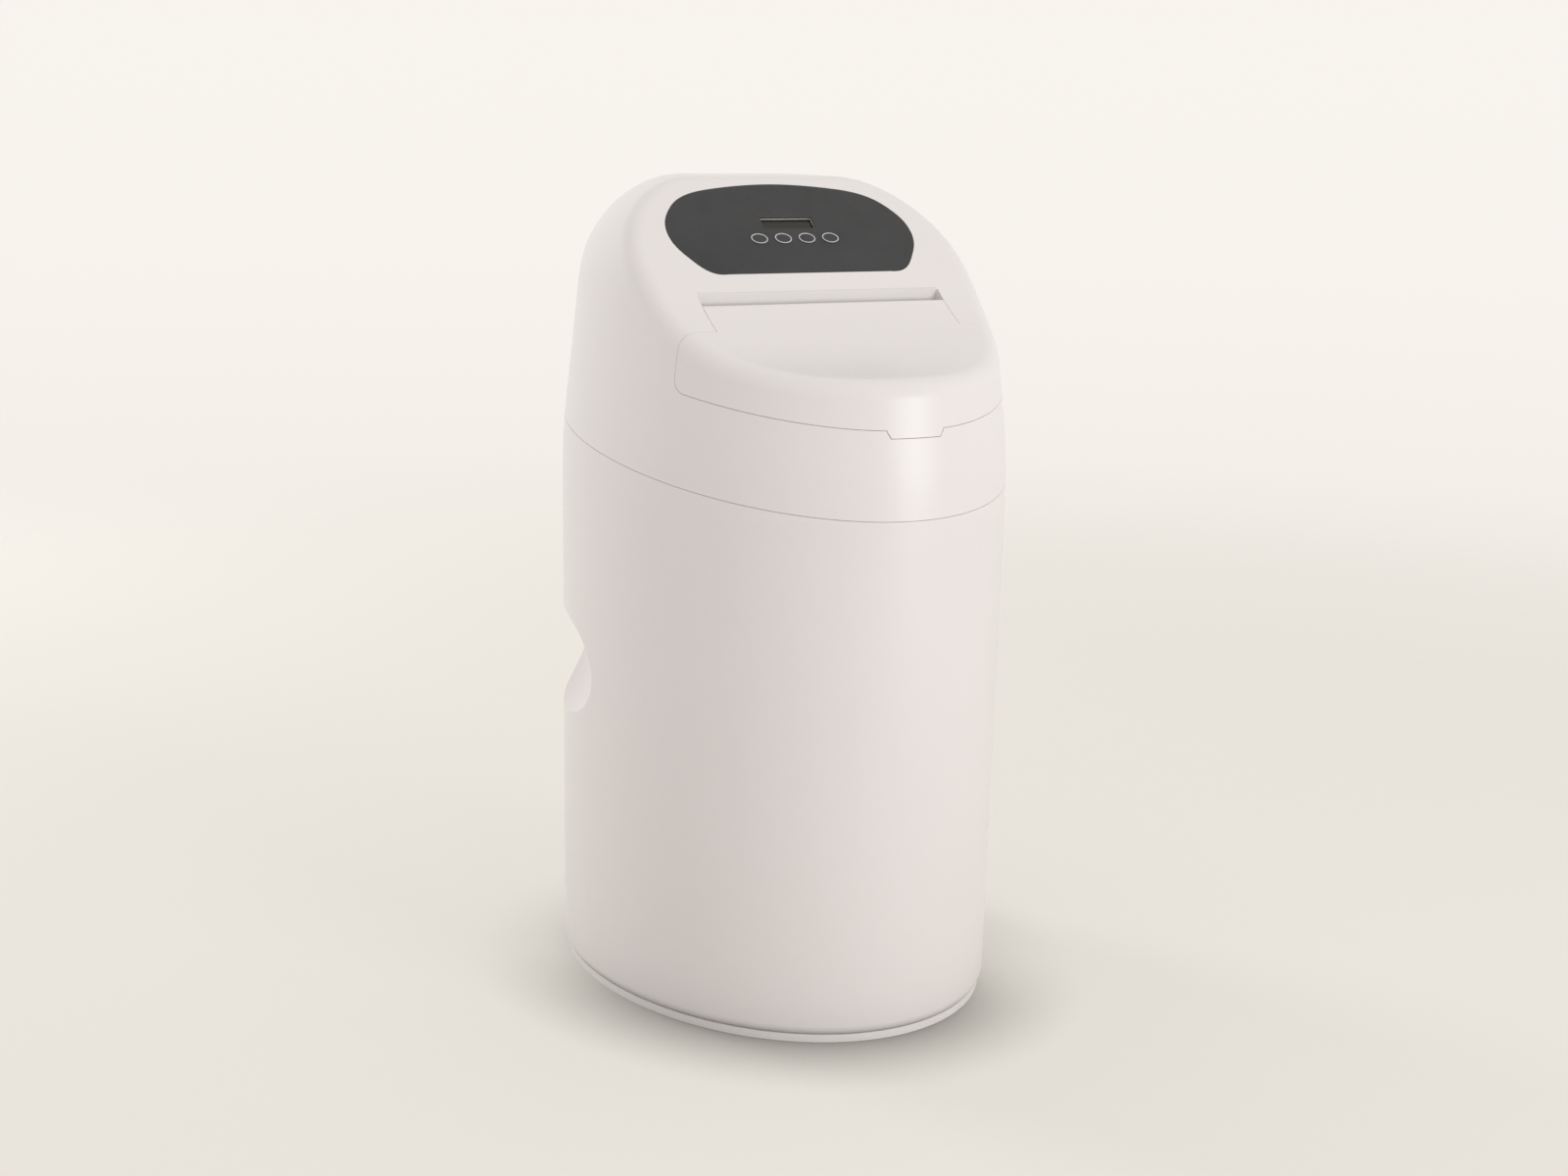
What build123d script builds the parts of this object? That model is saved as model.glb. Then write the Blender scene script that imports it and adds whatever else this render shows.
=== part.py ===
# Compact cabinet water softener: a moulded cabinet and top cover with a hinged salt lid and a sloping
# control face, and inside them the resin tank, control valve, bypass and brine gear.
# Millimetres, +Z up, front towards -Y. The origin is the centre of the base, on the floor.

import os
from math import acos, asin, atan2, cos, degrees, pi, radians, sin, sqrt, tan

from build123d import *

os.makedirs("parts", exist_ok=True)

# Outer body, taken from the photograph at a width of 330
width = 330.0
depth = 385.0
height = 635.0
nose_length = 225.0
back_flat_width = 126.0
skin = 3.2
waist_height = 400.0
base_side_inset = 1.0
base_front_inset = 10.0
base_back_inset = 5.0
base_round = 7.0
lean_ease = 60.0
lean_share = 0.108
front_lean_share = 1.3
dome_start = 558.0
dome_side_drop = 78.0
dome_back_drop = 54.0
flat_shrink_share = 0.3
dome_steps = 8
wall_steps = 6

# Sloping face: a concave sweep from the front rim that runs out into the flat control face
rim_height = 502.0
sweep_start = 18.0
sweep_radius = 213.0
control_slope = 41.0
rim_round = 16.0

# Split lines
seam_height = 400.7
seam_slope_share = 0.147
seam_gap = 0.4
lid_seam_height = 464.8
lid_seam_slope_share = 0.175
lid_gap = 0.4
tongue_depth = 7.0
tongue_wall = 2.2
tongue_gap = 0.9

# Plinth and cabinet
plinth_height = 6.0
plinth_inset = 3.0
floor_thickness = 4.0
scoop_height = 82.0
scoop_length = 225.0
scoop_depth = 34.0
scoop_level = 249.0
scoop_back = 286.0
scoop_turn = 26.0
overflow_height = 330.0
overflow_offset = 40.0

# Salt lid: a front piece with a strip that reaches back between two cheeks of the cover to the hinge
lid_side_back = 120.0
lid_corner = 12.0
hinge_back = 147.0
barrel_radius = 5.0
barrel_half = 104.0
groove_width = 4.0
pin_radius = 2.0
pin_length = 20.0
pin_end_gap = 0.5
running_gap = 0.05
pin_seat_gap = 0.02
trough_wall = 3.0
trough_clear = 1.5
trough_reach = 9.0
trough_drop = 13.0
cheek_width = 6.0
lip_half = 20.0
lip_drop = 4.5
lip_slant = 3.0
lip_reach = 12.0
ledge_width = 7.0
ledge_thickness = 2.6
root_height = 5.0
wall_bite = 1.0

# Control face, with the overlay's outline given as shares of its half width and its length
overlay_thickness = 1.0
overlay_start = 17.0
overlay_length = 97.0
overlay_half = 106.5
overlay_gap = 0.2
overlay_shares = (
    (0.66, 0.0),
    (0.81, 0.04),
    (0.91, 0.175),
    (0.977, 0.31),
    (1.0, 0.443),
    (0.977, 0.588),
    (0.92, 0.70),
    (0.826, 0.814),
    (0.714, 0.887),
    (0.507, 0.948),
    (0.31, 0.979),
)
window_width = 46.0
window_length = 12.4
window_at = 71.0
window_round = 1.2
display_drop = 2.4
display_margin = 3.0
key_count = 4
key_pitch = 20.7
key_at = 54.0
key_width = 14.4
key_length = 10.8
key_proud = 0.4
key_gap = 0.3
key_travel = 0.8
key_flange = 1.4
key_flange_thickness = 1.2
key_rest_gap = 0.15
stem_radius = 2.5
board_width = 130.0
board_length = 62.0
board_thickness = 1.6
board_drop = 14.0
switch_side = 6.2
switch_body = 4.0
switch_button = 1.4
switch_button_radius = 1.7
box_width = 150.0
box_length = 78.0
box_depth = 20.0
box_wall = 2.0
box_gap = 0.1
boss_radius = 3.2
boss_inset = 7.0
screw_radius = 1.4
screw_gap = 0.05
screw_head_radius = 2.8
screw_head_height = 1.8
screw_length = 6.0

# Salt guard between the lid opening and the valve
guard_half = 138.0
guard_thickness = 2.5
guard_bottom = 452.0

# Resin tank and boot
tank_back = 267.5
tank_radius = 91.0
tank_wall = 3.0
tank_bottom = 14.0
tank_height = 432.0
tank_dome = 45.0
neck_height = 10.0
neck_radius = 38.0
neck_bore = 33.0
boot_wall = 3.5
boot_height = 62.0
boot_gap = 0.3
riser_radius = 13.35
riser_wall = 2.4
basket_radius = 24.0
basket_height = 58.0
basket_wall = 2.2
basket_drop = 5.0
basket_slots = 18
slot_width = 2.0
bed_gap = 0.4
bed_top_share = 0.72
upper_basket_radius = 30.0
upper_basket_height = 38.0

# Control valve
flange_radius = 44.0
flange_height = 12.0
valve_spigot_gap = 0.15
valve_spigot_wall = 6.0
valve_spigot_depth = 15.0
riser_socket = 8.0
valve_half = 45.0
valve_front = 38.0
valve_back = 42.0
valve_height = 46.0
valve_round = 4.0
bore_radius = 17.0
bore_end = 5.0
port_radius = 9.5
port_depth = 55.0
port_spacing = 60.0
channel_radius = 6.0
spigot_radius = 14.0
spigot_length = 14.0
seal_count = 5
seal_gap = 0.1
seal_width = 4.0
seal_pitch = 13.0
piston_radius = 11.5
piston_length = 44.0
rod_radius = 4.0
rod_reach = 21.0
rod_gap = 0.2
stroke = 21.0
cap_radius = 22.5
cap_thickness = 8.0
cap_plug = 2.0
gear_module = 1.25
gear_teeth = 48
pinion_teeth = 12
gear_width = 7.0
pinion_width = 9.0
gear_hub_radius = 9.0
gear_hub_length = 11.0
addendum_share = 0.8
dedendum_share = 1.25
tooth_share = 0.42
pressure_angle = 20.0
flank_steps = 4
plate_thickness = 3.0
plate_half = 38.0
plate_low = 32.0
plate_high = 52.0
motor_radius = 14.0
motor_length = 26.0
motor_shaft_radius = 2.5
motor_shaft_reach = 14.0
shaft_clear = 1.0
meter_back = 27.0
turbine_radius = 11.0
turbine_height = 12.0
turbine_hub = 3.0
turbine_blades = 8
blade_thickness = 1.2
axle_radius = 1.5
chamber_gap = 1.0
chamber_depth = 31.0
meter_cap_radius = 15.0
meter_cap_height = 6.0
injector_radius = 15.0
injector_length = 9.0
injector_offset = 2.0
hose_seat = 6.0
drain_radius = 9.5
drain_spigot_radius = 8.0
drain_spigot_length = 20.0
drain_bore = 5.5
drain_front = 13.0
drain_side = 61.0
drain_drop = 6.0
drain_run = 137.0

# Bypass and connectors
bypass_back = 345.0
bypass_radius = 17.0
bypass_height = 46.0
sleeve_radius = 16.0
stub_radius = 12.0
stub_length = 24.0
rotor_radius = 13.5
rotor_gap = 0.08
rotor_bore = 8.0
handle_reach = 24.0
handle_width = 11.0
handle_height = 15.0
handle_clear = 0.6
bridge_radius = 9.0
nut_radius = 19.0
nut_length = 13.0
nut_ribs = 12
nut_rib_radius = 1.4
tail_flange_radius = 14.0
tail_flange_thickness = 3.0
tail_radius = 10.0
tail_bore = 8.5
thread_radius = 13.2
thread_length = 18.0
tail_overhang = 36.0
cutout_half = 74.0
cutout_top = 540.0
cutout_bottom = 446.0
cutout_round = 10.0

# Brine gear
well_side = 84.0
well_back = 114.5
well_radius = 36.0
well_wall = 2.5
well_top = 428.0
well_slots = 8
well_slot_height = 36.0
well_slot_width = 3.0
well_cap_height = 12.0
well_cap_wall = 2.0
pipe_radius = 4.75
pipe_bore = 3.2
pipe_turn = 24.0
pipe_back = 202.5
pipe_gap = 0.6
float_radius = 23.0
float_height = 42.0
float_bottom = 232.0
float_travel = 70.0
float_round = 6.0
stop_radius = 9.0
stop_height = 5.0
stop_gap = 0.4
brine_valve_radius = 17.0
brine_valve_height = 34.0
brine_valve_bottom = 374.0
air_check_radius = 15.0
air_check_height = 46.0
grid_height = 62.0
grid_thickness = 4.0
grid_gap = 1.5
grid_back = 215.0
grid_hole_radius = 4.0
grid_hole_pitch = 23.0
grid_edge = 12.0
leg_radius = 7.0
leg_side = 118.0
leg_back = 160.0
front_leg_side = 52.0
front_leg_back = 38.0

# Overflow, power socket
overflow_flange = 15.0
overflow_flange_thickness = 3.0
overflow_tube = 8.0
overflow_bore = 5.5
overflow_reach = 20.0
overflow_inset = 20.5
overflow_drop = 25.0
overflow_nut_thickness = 5.0
barb_length = 16.0
barb_ridge = 0.6
barb_count = 3
socket_radius = 6.0
socket_flange = 8.5
socket_flange_thickness = 2.0
socket_depth = 14.0
socket_bore = 4.4
socket_bore_depth = 10.0
socket_height = 562.0
socket_side = 35.0
socket_pin_radius = 1.2
socket_margin = 1.0

# Shared places
overrun = 10.0
inset_tolerance = 0.06
seat_gap = 0.3
front_y = -depth / 2
middle_y = front_y + nose_length
tail_length = depth - nose_length
back_y = depth / 2
sweep_y = front_y + sweep_start
sweep_centre_height = rim_height + sweep_radius
slope_angle = radians(control_slope)
face_y = sweep_y + sweep_radius * sin(slope_angle)
face_z = sweep_centre_height - sweep_radius * cos(slope_angle)
control_plane = Plane(
    origin=(0, face_y, face_z),
    x_dir=(1, 0, 0),
    z_dir=(0, -sin(slope_angle), cos(slope_angle)),
)
seam_plane = Plane(origin=(0, front_y, seam_height), x_dir=(1, 0, 0), z_dir=(0, -seam_slope_share, 1))
lid_seam_plane = Plane(
    origin=(0, front_y, lid_seam_height), x_dir=(1, 0, 0), z_dir=(0, -lid_seam_slope_share, 1)
)
floor_top = plinth_height + floor_thickness
tank_y = front_y + tank_back
tank_top = tank_bottom + tank_height
valve_bottom = tank_top + flange_height
port_z = valve_bottom + valve_height / 2
valve_front_y = tank_y - valve_front
valve_back_y = tank_y + valve_back
bypass_y = front_y + bypass_back
well_y = front_y + well_back
lid_side_y = front_y + lid_side_back
axis_y = front_y + hinge_back
hinge_turn = asin((axis_y - sweep_y) / (sweep_radius + barrel_radius))
axis_z = sweep_centre_height - (sweep_radius + barrel_radius) * cos(hinge_turn)
trough_y = axis_y + barrel_radius + groove_width
groove_half = barrel_half + lid_gap


def save(piece, name):
    """Label a finished piece and write its file."""
    piece.part.label = name
    export_step(piece.part, "parts/" + name + ".step")


def plan(level, side_inset, front_inset, back_inset, flat_half):
    """Plan outline at a height: half an ellipse in front, quarter ellipses and a flat behind."""
    half = width / 2 - side_inset
    tail = tail_length - back_inset
    with BuildSketch(Plane.XY.offset(level)) as outline:
        with BuildLine():
            EllipticalCenterArc((0, middle_y), half, nose_length - front_inset, 180, arc_size=180)
            EllipticalCenterArc((flat_half, middle_y), half - flat_half, tail, 0, arc_size=90)
            Line((flat_half, middle_y + tail), (-flat_half, middle_y + tail))
            EllipticalCenterArc((-flat_half, middle_y), half - flat_half, tail, 90, arc_size=90)
        make_face()
    return outline.sketch


def lean_inset(level):
    """How far the upper wall has leaned in at a height, easing in above the waist."""
    rise = max(level - waist_height, 0)
    if rise < lean_ease:
        return lean_share * rise**2 / (2 * lean_ease)
    return lean_share * (rise - lean_ease / 2)


def wall_plan(level, inset):
    """Outline of the straight part of the upper wall."""
    lean = lean_inset(level)
    return plan(level, lean + inset, front_lean_share * lean + inset, lean + inset, flat_half_at(inset))


def flat_half_at(inset):
    """Half the flat of the back, a little less on an inner wall."""
    return back_flat_width / 2 - inset / 2


def dome_plan(step, inset):
    """Outline at one step of the quarter turn that closes the dome."""
    turn = pi / 2 * step / dome_steps
    level = dome_start + (height - inset - dome_start) * sin(turn)
    drop = 1 - cos(turn)
    lean = lean_inset(level)
    return plan(
        level,
        lean + inset + dome_side_drop * drop,
        front_lean_share * lean + inset + dome_side_drop * drop,
        lean + inset + dome_back_drop * drop,
        flat_half_at(inset) * (1 - flat_shrink_share * drop),
    )


def body_form(inset, bottom):
    """Solid body inside the outer surface by an inset, from a bottom height to the top of the dome."""
    base_plan = plan(
        bottom,
        base_side_inset + inset,
        base_front_inset + inset,
        base_back_inset + inset,
        flat_half_at(inset),
    )
    wall_rise = (dome_start - waist_height) / (wall_steps + 1)
    wall_levels = [waist_height + wall_rise * k for k in range(wall_steps + 1)]
    upper = [wall_plan(level, inset) for level in wall_levels]
    upper += [dome_plan(step, inset) for step in range(dome_steps + 1)]
    with BuildPart() as form:
        loft([base_plan, wall_plan(waist_height, inset)], ruled=True)
        loft(upper)
    return form.part


def sweep_cut(inset):
    """Everything above the sloping face, for a surface that lies an inset below it."""
    radius = sweep_radius + inset
    start_z = sweep_centre_height - radius
    end = (sweep_y + radius * sin(slope_angle), sweep_centre_height - radius * cos(slope_angle))
    far = (end[0] + height * cos(slope_angle), end[1] + height * sin(slope_angle))
    near_y = front_y - overrun
    with BuildPart() as cutter:
        with BuildSketch(Plane.YZ.offset(-width)):
            with BuildLine():
                Line((near_y, start_z), (sweep_y, start_z))
                CenterArc((sweep_y, sweep_centre_height), radius, -90, control_slope)
                Line(end, far)
                Line(far, (near_y, far[1]))
                Line((near_y, far[1]), (near_y, start_z))
            make_face()
        extrude(amount=2 * width)
    return cutter.part


def sweep_level(y, inset):
    """Height of the sloping face at a distance from front to back."""
    radius = sweep_radius + inset
    if y < sweep_y:
        return sweep_centre_height - radius
    if y < sweep_y + radius * sin(slope_angle):
        return sweep_centre_height - sqrt(radius**2 - (y - sweep_y) ** 2)
    end_y = sweep_y + radius * sin(slope_angle)
    return sweep_centre_height - radius * cos(slope_angle) + (y - end_y) * tan(slope_angle)


def on_rim(edge, inset):
    """True for an edge where the sloping face meets the body, and not for a line across the face."""
    middle = edge.position_at(0.5)
    crosses = edge.geom_type == GeomType.LINE and middle.Y < face_y + overrun
    return abs(middle.Z - sweep_level(middle.Y, inset)) < inset_tolerance and not crosses


def shell_form(inset, bottom):
    """Body form with the sloping face cut and its rim rounded."""
    form = body_form(inset, bottom)
    cutter = sweep_cut(inset)
    with BuildPart() as shaped:
        add(form)
        add(cutter, mode=Mode.SUBTRACT)
        fillet(shaped.edges().filter_by(lambda edge: on_rim(edge, inset)), radius=rim_round - inset)
    return shaped.part


outer_form = shell_form(0, plinth_height)
inner_form = shell_form(skin, floor_top)


def slab(plane, low, high):
    """Large slab between two levels of a plane."""
    with BuildPart() as block:
        with BuildSketch(plane.offset(low)):
            Rectangle(3 * width, 3 * depth)
        extrude(amount=high - low)
    return block.part


above_seam = slab(seam_plane, seam_gap, height)
from_seam = slab(seam_plane, 0, height)


# Plinth
with BuildPart() as plinth:
    extrude(
        plan(
            0,
            base_side_inset + plinth_inset,
            base_front_inset + plinth_inset,
            base_back_inset + plinth_inset,
            flat_half_at(0),
        ),
        amount=plinth_height,
    )
save(plinth, "base_plinth")


# Cabinet: moulded tank with a hand scoop at each side towards the back
def scoop(side, growth):
    """Spheroid that presses a hand scoop into a side wall, grown by a wall for the inner face."""
    along = scoop_back + front_y - middle_y
    turn = asin(along / tail_length)
    wall_x = back_flat_width / 2 + (width / 2 - back_flat_width / 2) * cos(turn)
    rise = (scoop_height / 2) ** 2
    outset = (rise - scoop_depth**2) / (2 * scoop_depth)
    radius = outset + scoop_depth
    reach = scoop_length / 2 / sqrt(1 - (outset / radius) ** 2)
    out = radians(scoop_turn)
    centre = (
        side * (wall_x + outset * cos(out)),
        front_y + scoop_back + outset * sin(out),
        scoop_level,
    )
    place = Plane(origin=centre, x_dir=(-side * sin(out), cos(out), 0), z_dir=(0, 0, 1))
    with BuildPart() as pocket:
        with BuildSketch(place):
            with BuildLine():
                EllipticalCenterArc((0, 0), reach + growth, radius + growth, 0, arc_size=180)
                Line((-reach - growth, 0), (reach + growth, 0))
            make_face()
        revolve(axis=Axis(place.origin, place.x_dir))
    return pocket.part


def rounded_base(form):
    """Form with its bottom edge rounded."""
    with BuildPart() as rounded:
        add(form)
        fillet(rounded.edges().group_by(Axis.Z)[0], radius=base_round)
    return rounded.part


scoops = [scoop(side, 0) for side in (-1, 1)]
grown_scoops = [scoop(side, skin) for side in (-1, 1)]
cabinet_outside = rounded_base(outer_form)
with BuildPart() as cabinet_room:
    add(inner_form)
    for pocket in grown_scoops:
        add(pocket, mode=Mode.SUBTRACT)

with BuildPart() as cabinet:
    add(cabinet_outside)
    add(cabinet_room.part, mode=Mode.SUBTRACT)
    add(from_seam, mode=Mode.SUBTRACT)
    for pocket in scoops:
        add(pocket, mode=Mode.SUBTRACT)
    with BuildSketch(Plane.XZ.offset(-back_y + cutout_half / 2)):
        with Locations((0, cutout_bottom + height / 2)):
            RectangleRounded(2 * cutout_half, height, cutout_round)
    extrude(amount=-cutout_half, mode=Mode.SUBTRACT)
    with Locations(Location((-overflow_offset, back_y, overflow_height), (90, 0, 0))):
        Hole(overflow_tube + seat_gap, depth=skin * 3)
save(cabinet, "cabinet")


def wall_form(inset):
    """Solid inside the upper wall by an inset, through the heights of both split lines."""
    first = seam_height - 2 * tongue_depth
    last = lid_seam_height + lid_seam_slope_share * nose_length
    levels = [first + (last - first) * step / wall_steps for step in range(wall_steps + 1)]
    with BuildPart() as form:
        loft([wall_plan(level, inset) for level in levels])
    return form.part


def ring(outer, inner, plane, low, high):
    """Band between two wall forms and two levels of a split plane."""
    band_slab = slab(plane, low, high)
    with BuildPart() as band:
        add(outer)
        add(band_slab, mode=Mode.INTERSECT)
        add(inner, mode=Mode.SUBTRACT)
    return band.part


def lid_seam_level(y):
    """Height of the lid's split line."""
    return lid_seam_height + lid_seam_slope_share * (y - front_y)


def lid_space(growth):
    """Space of the lid's front piece, with its finger lip, grown for the opening in the cover."""
    side_y = lid_side_y + growth
    near_y = front_y - overrun
    rise = lid_gap - growth
    top = height + overrun
    lip_level = lid_seam_height + rise
    with BuildPart() as space:
        with BuildSketch(Plane.YZ.offset(-width)):
            with BuildLine():
                FilletPolyline(
                    (near_y, lid_seam_level(near_y) + rise),
                    (side_y, lid_seam_level(side_y) + rise),
                    (side_y, top),
                    radius=lid_corner,
                )
                Polyline((side_y, top), (near_y, top), (near_y, lid_seam_level(near_y) + rise))
            make_face()
        extrude(amount=2 * width)
        with BuildSketch(Plane.XZ.offset(-front_y + overrun)):
            with BuildLine():
                Polyline(
                    (-lip_half - lip_slant - growth, lip_level + overrun),
                    (-lip_half - lip_slant - growth, lip_level),
                    (-lip_half - growth, lip_level - lip_drop),
                    (lip_half + growth, lip_level - lip_drop),
                    (lip_half + lip_slant + growth, lip_level),
                    (lip_half + lip_slant + growth, lip_level + overrun),
                    close=True,
                )
            make_face()
        extrude(amount=-overrun - lip_reach)
    return space.part


with BuildPart() as shell:
    add(outer_form)
    add(inner_form, mode=Mode.SUBTRACT)


# Salt lid
def hinge_point(outward, forward):
    """Point in the side view, measured from the hinge axis out of the face and forward along it."""
    return (
        axis_y - outward * sin(hinge_turn) - forward * cos(hinge_turn),
        axis_z + outward * cos(hinge_turn) - forward * sin(hinge_turn),
    )


lid_front = lid_space(0)
with BuildPart() as lid_strip:
    with BuildSketch(Plane.YZ.offset(-barrel_half)):
        with BuildLine():
            Polyline(
                hinge_point(2 * overrun, 0),
                hinge_point(-overrun, 0),
                (lid_side_y - overrun, axis_z - 4 * overrun),
                (lid_side_y - overrun, axis_z + overrun),
                close=True,
            )
        make_face()
    extrude(amount=2 * barrel_half)

with BuildPart() as lid_region:
    add(lid_front)
    add(lid_strip.part)

pin_start = groove_half + cheek_width - pin_length
with BuildPart() as salt_lid:
    add(shell.part)
    add(lid_region.part, mode=Mode.INTERSECT)
    with BuildSketch(Plane.YZ.offset(-barrel_half)):
        with Locations((axis_y, axis_z)):
            Circle(barrel_radius)
    extrude(amount=2 * barrel_half)
    for side in (-1, 1):
        with BuildSketch(Plane.YZ.offset(side * (pin_start - pin_end_gap))):
            with Locations((axis_y, axis_z)):
                Circle(pin_radius + running_gap)
        extrude(amount=side * pin_length, mode=Mode.SUBTRACT)
save(salt_lid, "salt_lid")

with BuildPart() as hinge_pins:
    for side in (-1, 1):
        with BuildSketch(Plane.YZ.offset(side * pin_start)):
            with Locations((axis_y, axis_z)):
                Circle(pin_radius)
        extrude(amount=side * pin_length)
save(hinge_pins, "lid_hinge_pins")


# Top cover
def overlay_outline(growth):
    """Outline of the overlay on the control face, grown for its recess."""
    half = overlay_half + growth
    long = overlay_length + 2 * growth
    start = overlay_start - growth
    right = [(half * across, start + long * along) for across, along in overlay_shares]
    left = [(-x, y) for x, y in reversed(right)]
    with BuildSketch(control_plane) as outline:
        with BuildLine():
            Spline(*right, (0, start + long), *left)
            Line(left[-1], right[0])
        make_face()
    return outline.sketch


def face_plane(drop):
    """Plane under the control face by a drop."""
    return control_plane.offset(-drop)


def rear_level(level):
    """How far back the middle of the cover's rear is at a height in the dome."""
    turn = asin((level - dome_start) / (height - dome_start))
    return back_y - lean_inset(level) - dome_back_drop * (1 - cos(turn))


key_places = [(key_pitch * (k - (key_count - 1) / 2), key_at) for k in range(key_count)]
bite_form = wall_form(skin - wall_bite)
tongue_outer = wall_form(skin + tongue_gap)
tongue_inner = wall_form(skin + tongue_gap + tongue_wall)
ledge_inner = wall_form(skin + ledge_width)
tongue_low = ring(tongue_outer, tongue_inner, seam_plane, -tongue_depth, seam_gap + wall_bite)
tongue_root = ring(bite_form, tongue_inner, seam_plane, seam_gap, seam_gap + root_height)
ledge = ring(bite_form, ledge_inner, lid_seam_plane, -ledge_thickness, 0)
lid_opening = lid_space(lid_gap)
trough_floor = axis_z - barrel_radius - trough_clear
trough_front = axis_y - trough_reach

with BuildPart() as trough:
    with BuildSketch(Plane.XY.offset(axis_z - trough_drop)):
        with Locations((0, trough_y + trough_wall / 2)):
            Rectangle(width, trough_wall)
    extrude(amount=height - axis_z)
    with BuildSketch(Plane.XY.offset(trough_floor - trough_wall)):
        with Locations((0, (trough_front + trough_y + trough_wall) / 2)):
            Rectangle(2 * (groove_half + cheek_width), trough_y + trough_wall - trough_front)
    extrude(amount=trough_wall)
    with BuildSketch(Plane.XY.offset(trough_floor - trough_wall)):
        for side in (-1, 1):
            with Locations((side * (groove_half + cheek_width / 2), (trough_front + trough_y) / 2)):
                Rectangle(cheek_width, trough_y - trough_front)
    extrude(amount=height - axis_z)
    add(outer_form, mode=Mode.INTERSECT)

socket_floor = rear_level(socket_height + socket_flange + socket_margin) - socket_margin / 2
socket_reach = back_y - socket_floor + overrun
with BuildPart() as socket_boss:
    with BuildSketch(Plane.XZ.offset(-socket_floor + skin)):
        with Locations((socket_side, socket_height)):
            Circle(socket_flange + socket_margin + skin)
    extrude(amount=-socket_reach)
    add(outer_form, mode=Mode.INTERSECT)

with BuildPart() as ledge_band:
    add(ledge)
    with BuildSketch(Plane.XZ.offset(-trough_y)):
        Rectangle(3 * width, 3 * height)
    extrude(amount=-depth, mode=Mode.SUBTRACT)
    add(lid_opening, mode=Mode.SUBTRACT)

overlay_recess = overlay_outline(overlay_gap)
with BuildPart() as top_cover:
    add(shell.part)
    add(above_seam, mode=Mode.INTERSECT)
    add(lid_opening, mode=Mode.SUBTRACT)
    with BuildSketch(Plane.XY.offset(axis_z - 4 * overrun)):
        with Locations((0, (lid_side_y - overrun + trough_y) / 2)):
            Rectangle(2 * groove_half, trough_y - lid_side_y + overrun)
    extrude(amount=height, mode=Mode.SUBTRACT)
    add(tongue_root)
    add(tongue_low)
    add(ledge_band.part)
    add(trough.part)
    add(socket_boss.part)
    with BuildSketch(Plane.XZ.offset(-back_y + cutout_half / 2)):
        with Locations((0, cutout_top - height / 2)):
            RectangleRounded(2 * cutout_half, height, cutout_round)
    extrude(amount=-cutout_half, mode=Mode.SUBTRACT)
    for side in (-1, 1):
        with BuildSketch(Plane.YZ.offset(side * (groove_half - lid_gap / 2))):
            with Locations((axis_y, axis_z)):
                Circle(pin_radius + pin_seat_gap)
        extrude(amount=side * (cheek_width + lid_gap), mode=Mode.SUBTRACT)
    with BuildSketch(Plane.XZ.offset(-socket_floor)):
        with Locations((socket_side, socket_height)):
            Circle(socket_flange + socket_margin)
    extrude(amount=-socket_reach, mode=Mode.SUBTRACT)
    with BuildSketch(Plane.XZ.offset(-socket_floor + skin + overrun)):
        with Locations((socket_side, socket_height)):
            Circle(socket_radius + seat_gap)
    extrude(amount=-skin - 2 * overrun, mode=Mode.SUBTRACT)
    add(extrude(overlay_recess, amount=-overlay_thickness, mode=Mode.PRIVATE), mode=Mode.SUBTRACT)
    with BuildSketch(face_plane(-overrun)):
        with Locations((0, window_at)):
            RectangleRounded(window_width, window_length, window_round)
        with Locations(*key_places):
            Ellipse(key_width / 2 + key_gap, key_length / 2 + key_gap)
    extrude(amount=-overrun - skin - overrun, mode=Mode.SUBTRACT)
save(top_cover, "top_cover")


# Control face pieces
overlay_face = overlay_outline(0)
with BuildPart() as control_overlay:
    add(extrude(overlay_face, amount=-overlay_thickness, mode=Mode.PRIVATE))
    with BuildSketch(face_plane(-overrun)):
        with Locations((0, window_at)):
            RectangleRounded(window_width, window_length, window_round)
        with Locations(*key_places):
            Ellipse(key_width / 2 + key_gap, key_length / 2 + key_gap)
    extrude(amount=-2 * overrun, mode=Mode.SUBTRACT)
save(control_overlay, "control_overlay")

with BuildPart() as display_module:
    with BuildSketch(face_plane(board_drop)):
        with Locations((0, window_at)):
            Rectangle(window_width + 2 * display_margin, window_length + 2 * display_margin)
    extrude(amount=board_drop - skin - overlay_gap)
    with BuildSketch(face_plane(skin + overlay_gap)):
        with Locations((0, window_at)):
            RectangleRounded(
                window_width - 2 * overlay_gap,
                window_length - 2 * overlay_gap,
                window_round - overlay_gap,
            )
    extrude(amount=skin + overlay_gap - display_drop)
save(display_module, "display_module")

flange_top = skin + key_rest_gap
flange_bottom = flange_top + key_flange_thickness
switch_top = board_drop - switch_body - switch_button
stem_bottom = switch_top - key_travel - key_rest_gap
for number, place in enumerate(key_places, start=1):
    with BuildPart() as key:
        with BuildSketch(face_plane(flange_bottom)):
            with Locations(place):
                Ellipse(key_width / 2 + key_flange, key_length / 2 + key_flange)
        extrude(amount=key_flange_thickness)
        with BuildSketch(face_plane(flange_top)):
            with Locations(place):
                Ellipse(key_width / 2, key_length / 2)
        extrude(amount=flange_top + key_proud)
        with BuildSketch(face_plane(stem_bottom)):
            with Locations(place):
                Circle(stem_radius)
        extrude(amount=stem_bottom - flange_bottom)
    save(key, "key_" + str(number))

with BuildPart() as key_switches:
    with BuildSketch(face_plane(board_drop)):
        with Locations(*key_places):
            Rectangle(switch_side, switch_side)
    extrude(amount=switch_body)
    with BuildSketch(face_plane(board_drop - switch_body)):
        with Locations(*key_places):
            Circle(switch_button_radius)
    extrude(amount=switch_button)
save(key_switches, "key_switches")

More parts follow.
